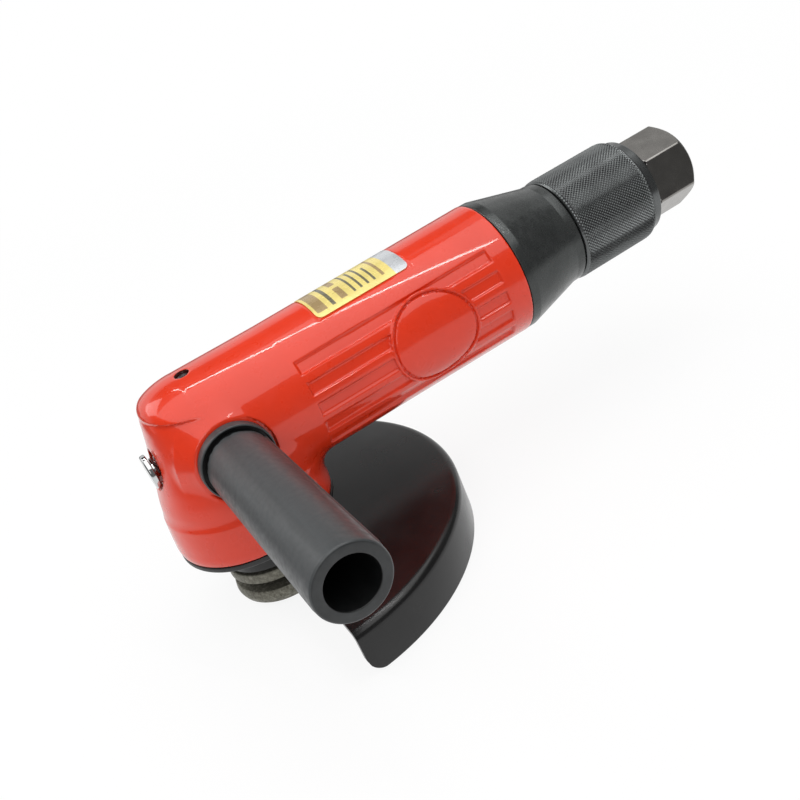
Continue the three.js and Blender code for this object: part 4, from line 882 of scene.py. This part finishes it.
def build_head_underside():
    # painted shade: the plate wears the near-black copy of its black finish
    plate = turned_piece("head_plate", [
        (-34.9, 20.5), (-34.9, 29.5, 0.3), (-37.0, 29.5, 0.7), (-37.0, 15.5, 0.8),
        (-48.6, 15.5, 0.6), (-48.6, 9.2, 0.3), (-36.9, 9.2), (-36.9, 12.1), (-31.9, 12.1),
        (-31.9, 17.55), (-20.6, 17.55), (-20.6, 20.5),
    ], "Z", "frame", "black_finish", "bearing_retainer", look="black_painted_shade")
    sink = [(-38.0, 0), (-38.0, 4.35), (-35.6, 1.95), (-34.0, 1.95), (-34.0, 0)]
    carve(plate, hole_circle(sink, 25.2, (35, 145, 215, 325), 32))
    turned_piece("clamping_flange", [
        (-49.3, 7.3), (-49.3, 18.1, 0.5), (-53.6, 18.1, 0.5), (-53.6, 11.1, 0.2),
        (-55.0, 11.1, 0.3), (-55.0, 7.3),
    ], "Z", "spindle", "grey_steel", "inner_flange")


def build_nut():
    nut = turned_piece("clamping_nut", [
        (-57.5, 7.3), (-57.5, 18.0, 0.5), (-60.6, 18.6, 2.5), (-63.5, 17.6, 1.6), (-63.5, 9.4, 0.3),
        (-62.9, 8.6, 0.3), (-62.9, 7.3),
    ], "Z", "spindle", "grey_steel", "outer_flange_nut")
    pin_hole = [(-66.0, 0), (-66.0, 1.65), (-60.5, 1.65), (-60.1, 0)]
    carve(nut, hole_circle(pin_hole, 13, (45, 135, 225, 315), 40))


def strip_faces(count, n):
    """Quads along count outlines of n points each, with both ends capped."""
    quads = [(i * n + k, i * n + (k + 1) % n, (i + 1) * n + (k + 1) % n, (i + 1) * n + k)
             for i in range(count - 1) for k in range(n)]
    return quads + [tuple(range(n)), tuple(range((count - 1) * n, count * n))[::-1]]


def build_guard():
    """The bent sheet, its doubling pad and its split band with two ears."""
    top, bottom, outer_r, inner_r, sheet = -47.4, -66.1, 72.4, 24.0, 2.0
    corner = 7.0  # radius of the corners at the ends of its rim
    points, faces = [], []

    def add(pts, count):
        base = len(points)
        points.extend(pts)
        faces.extend(tuple(base + v for v in f) for f in strip_faces(count, len(pts) // count))

    def swept(outline, turns):
        add([(r * math.cos(t), r * math.sin(t), AXIS_Z + z) for t in turns for z, r in outline],
            len(turns))

    def dome(r):
        return 0.9 * max((r - 30) / 42.4, 0) ** 4

    spread = [float(r) for r in np.linspace(34, 66, 12)]
    outline = rounded([(top, inner_r, 0.3)] + [(top - dome(r), r) for r in spread] + [
        (-48.1, outer_r, 5.2), (bottom, outer_r, 0.6), (bottom, outer_r - sheet, 0.6),
        (-50.1, outer_r - sheet, 3.2),
    ] + [(top - sheet - dome(r), r) for r in reversed(spread)] + [(top - sheet, inner_r, 0.3)], 10)
    ends = [math.degrees(a / outer_r) for a in np.linspace(0, corner, 12)]
    angles = [-90 + a for a in ends]
    angles += list(np.linspace(angles[-1], -angles[-1], 150))[1:-1]
    angles += [90 - a for a in reversed(ends)]
    rings = []
    for t in angles:
        left = max(corner - min(t + 90, 90 - t) * PI / 180 * outer_r, 0)
        low = bottom + (corner - math.sqrt(max(corner**2 - left**2, 0)))
        c, d = math.cos(math.radians(t)), math.sin(math.radians(t))
        rings += [(r * c, r * d, AXIS_Z + (max(z, low) if z < -60 else z)) for z, r in outline]
    add(rings, len(angles))
    # half disc that doubles the sheet, and the split band round the neck
    pad = rounded([(-46.2, 16.5), (-46.2, 27.0, 0.6), (-48.4, 27.0), (-48.4, 16.5)])
    swept(pad, np.radians(np.linspace(-90, 90, 96)))
    split = 130  # angle of the band's gap, in degrees
    gap = math.degrees(2.0 / 16.7)
    band = rounded([(-41.4, 15.8, 0.3), (-41.4, 17.6, 0.5), (-48.4, 17.6, 0.3), (-48.4, 15.8, 0.3)])
    swept(band, np.radians(np.linspace(split + gap, split + 360 - gap, 120)))
    # its two ears, each four outlines across its thickness, the outer ones drawn in
    ear = rounded([(17.0, -46.6), (27.6, -46.6, 2.0), (27.6, -41.8, 2.0), (17.0, -41.8)], 6)
    middle, half_length, half_height = (22.3, -44.2), 5.3, 2.4
    c, d = math.cos(math.radians(split)), math.sin(math.radians(split))
    for side in (1, -1):
        pts = []
        for across, shrink in ((2.0, 0.25), (2.25, 0), (4.75, 0), (5.0, 0.25)):
            for r, z in ear:
                r = r + (middle[0] - r) * shrink / half_length
                z = z + (middle[1] - z) * shrink / half_height
                a = side * across
                pts.append((r * c - a * d, r * d + a * c, AXIS_Z + z))
        add(pts, 4)
    add_piece("wheel_guard", points, faces, "guard", "black_gloss", "guard", 30)


def build_button():
    turned_piece("lock_button_cap", [
        (-25.1, 0), (-25.45, 4.2, 2.0), (-25.5, 5.9, 0.5), (-25.0, 6.3, 0.3), (-23.7, 6.3, 0.4),
        (-23.5, 5.9, 0.2), (-23.5, 2.9, 0.2), (-19.5, 2.9), (-19.5, 1.95), (-22.3, 1.95),
        (-22.3, 0),
    ], "X", "lock", "chrome", "lock_button")


def build_spindle():
    """The spindle with its thread, and the holes in its collar that take the lock pin."""
    end, thread_end, thread_r, thread_depth, thread_pitch = -65.0, -49.0, 7.0, 0.9, 2.0
    steps = 96
    turns = np.linspace(0, 2 * PI, steps, endpoint=False)
    tip = 0.01  # radius at the middle of both its ends
    along = [(end, np.full(steps, tip)), (end, np.full(steps, 6.0))]
    for z in np.arange(end + 0.4, thread_end, 0.25):
        wave = np.abs(((z / thread_pitch - turns / (2 * PI)) % 1) - 0.5) * 2
        chamfer = min(thread_r, 6.0 + (z - end) * 1.2)
        along.append((z, np.minimum(thread_r - thread_depth * wave, chamfer)))
    plain = [(-48.6, 7.5), (-7.1, 7.5), (-7.1, 8.1), (4.5, 8.1), (4.5, 6.0), (8.7, 6.0), (8.7, 4.0),
             (15.6, 4.0), (16.0, 3.6), (16.0, tip)]
    along += [(z, np.full(steps, r)) for z, r in plain]
    points = np.concatenate([
        np.stack([r * np.cos(turns), r * np.sin(turns), np.full(steps, AXIS_Z + z)], 1)
        for z, r in along])
    piece = add_piece("threaded_spindle", points, ring_faces(len(along), steps, closed=False),
                      "spindle", "bright_steel", "spindle", 40)
    hole, faces = lathe([(5.5, 0), (5.5, 2.4), (9.5, 2.4), (9.5, 0)], "X", 32, closed=False)
    cutters = []
    for _ in range(4):
        cutters.append((hole, faces))
        hole = hole[:, [1, 0, 2]] * (-1, 1, 1)  # a quarter turn round the spindle
    carve(piece, cutters)


def build_springs():
    """Copies of the two springs' CAD coils, each riding on the frame and standing for its node."""
    for name, joint, fixed_end, travel in (
        ("valve_spring", "throttle_twist", 0.1897, 0.004),
        ("lock_spring", "lock_press", -0.0158, 0.003),
    ):
        coil = link_object(name + "_coil", frame["nodes"][name].data.copy())
        stand_for(coil, name, "frame")
        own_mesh(coil)


# ---- stage and camera
def build_stage():
    """A pale floor that is white to the camera, and a studio that darkens away from the table."""
    size, z = 8.0, -0.0013  # the floor's half width, and its height just below the object
    mesh = bpy.data.meshes.new("floor")
    mesh.from_pydata([(-size, -size, z), (size, -size, z), (size, size, z), (-size, size, z)], [],
                     [(0, 1, 2, 3)])
    link_object("floor", mesh)
    material = bpy.data.materials.new("floor_white")
    material.use_nodes = True
    tree = material.node_tree
    tree.nodes.clear()

    def node(kind, **values):
        made = tree.nodes.new(kind)
        for key, value in values.items():
            setattr(made, key, value)
        return made

    def join(a, b):
        tree.links.new(a, b)

    def fade(value, near, far, at_near, at_far):
        """A smooth change from at_near to at_far as a value goes from near to far."""
        made = node("ShaderNodeMapRange", interpolation_type="SMOOTHSTEP")
        join(value, made.inputs[0])
        for socket, number in zip(made.inputs[1:5], (near, far, at_near, at_far)):
            socket.default_value = number
        return made.outputs[0]

    def mirrors(path):
        """One for the rays that mirrors and clear coats send out."""
        return maths(tree, "MAXIMUM", path.outputs["Is Glossy Ray"],
                     path.outputs["Is Transmission Ray"])

    # the floor's look changes with the distance from the object's middle, in metres
    middle_x = 0.06
    path = node("ShaderNodeLightPath")
    place = node("ShaderNodeSeparateXYZ")
    join(node("ShaderNodeNewGeometry").outputs["Position"], place.inputs[0])
    across = maths(tree, "SUBTRACT", place.outputs[0], middle_x)
    squares = [maths(tree, "MULTIPLY", v, v) for v in (across, place.outputs[1])]
    away = maths(tree, "SQRT", maths(tree, "ADD", *squares))
    mirrored = mirrors(path)
    table = maths(tree, "MULTIPLY", mirrored, fade(away, 0.27, 0.42, 0.95, 0.14))
    seen = maths(tree, "MULTIPLY", path.outputs["Is Camera Ray"], fade(away, 0.2, 0.75, 0.88, 1.0))
    diffuse = node("ShaderNodeBsdfDiffuse")
    diffuse.inputs["Color"].default_value = (0.86, 0.86, 0.86, 1)
    glow = node("ShaderNodeEmission")
    glow.inputs["Color"].default_value = (1, 1, 1, 1)
    mix = node("ShaderNodeMixShader")
    join(maths(tree, "MAXIMUM", path.outputs["Is Camera Ray"], table), glow.inputs["Strength"])
    join(maths(tree, "MAXIMUM", seen, mirrored), mix.inputs["Fac"])
    join(diffuse.outputs[0], mix.inputs[1])
    join(glow.outputs[0], mix.inputs[2])
    join(mix.outputs[0], node("ShaderNodeOutputMaterial").inputs["Surface"])
    mesh.materials.append(material)

    room, dim = 0.27, 0.15  # strength of the plain light from all sides, and as mirrors see it
    world = bpy.data.worlds.new("studio")
    bpy.context.scene.world = world
    world.use_nodes = True
    tree = world.node_tree
    tree.nodes.clear()
    path = node("ShaderNodeLightPath")
    toward = node("ShaderNodeSeparateXYZ")
    join(node("ShaderNodeTexCoord").outputs["Generated"], toward.inputs[0])
    # behind the table a white backdrop rises to about 34 degrees, with a dark room above it
    backdrop = maths(tree, "SUBTRACT", fade(toward.outputs[2], 0.5, 0.58, 0.75, 0.08), dim)
    backdrop = maths(tree, "MULTIPLY", backdrop, fade(toward.outputs[1], 0.2, 0.6, 0.0, 1.0))
    lift = maths(tree, "MULTIPLY", mirrors(path), maths(tree, "SUBTRACT", backdrop, room - dim))
    to_white = maths(tree, "MULTIPLY", path.outputs["Is Camera Ray"], 1 - room)
    lift = maths(tree, "ADD", lift, to_white)
    fill = node("ShaderNodeBackground")
    fill.inputs["Color"].default_value = (1, 1, 1, 1)
    join(maths(tree, "ADD", lift, room), fill.inputs["Strength"])
    join(fill.outputs[0], node("ShaderNodeOutputWorld").inputs["Surface"])


def add_light(name, at, target, size_x, size_y, power):
    """A rectangular lamp, in metres and watts, turned towards a place."""
    lamp = bpy.data.lights.new(name, "AREA")
    lamp.shape = "RECTANGLE"
    lamp.size, lamp.size_y = size_x, size_y
    lamp.energy = power
    item = link_object(name, lamp)
    item.location = at
    back = Vector(at) - Vector(target)
    item.rotation_mode = "QUATERNION"
    item.rotation_quaternion = back.to_track_quat("Z", "Y")


def build_lights():
    centre = (0.07, 0.0, 0.06)
    add_light("overhead_strip", (0.26, 0.09, 0.98), centre, 1.3, 0.014, 1.5)
    add_light("overhead_soft", (0.05, -0.35, 1.5), centre, 2.6, 2.0, 26.0)
    add_light("front_fill", (-0.55, -1.15, 0.7), centre, 0.8, 0.6, 3.5)
    add_light("rear_soft", (-0.7, 0.9, 1.1), centre, 0.7, 0.7, 4.0)
    add_light("right_soft", (1.0, 0.42, 1.0), centre, 0.9, 0.9, 1.2)


def build_camera():
    """The camera that was fitted to the photograph's edges."""
    side, focal, centre = 800.0, 1088.876, (405.609, 392.847)  # all in pixels
    camera = bpy.data.cameras.new("camera")
    camera.sensor_width = 36.0
    camera.lens = focal * camera.sensor_width / side
    camera.shift_x = -(centre[0] - side / 2) / side
    camera.shift_y = (centre[1] - side / 2) / side
    camera.clip_start, camera.clip_end = 0.01, 50.0
    right = Vector((0.818723, -0.464514, -0.33752))
    down = Vector((-0.506773, -0.308215, -0.805099))
    ahead = Vector((0.269951, 0.830199, -0.487746))
    turn = Matrix((right, -down, -ahead)).transposed()
    place = Vector((-39.637, -335.318, 170.836 + AXIS_Z)) * MM
    item = link_object("camera", camera)
    item.matrix_world = Matrix.Translation(place) @ turn.to_4x4()
    bpy.context.scene.camera = item


bpy.context.scene.view_settings.view_transform = "Standard"
dress_cad()
for build in (build_camera, build_stage, build_lights, build_housing, build_label, build_handle,
              build_cover, build_throttle_grip, build_inlet, build_head_underside, build_nut,
              build_guard, build_button, build_spindle, build_springs):
    build()
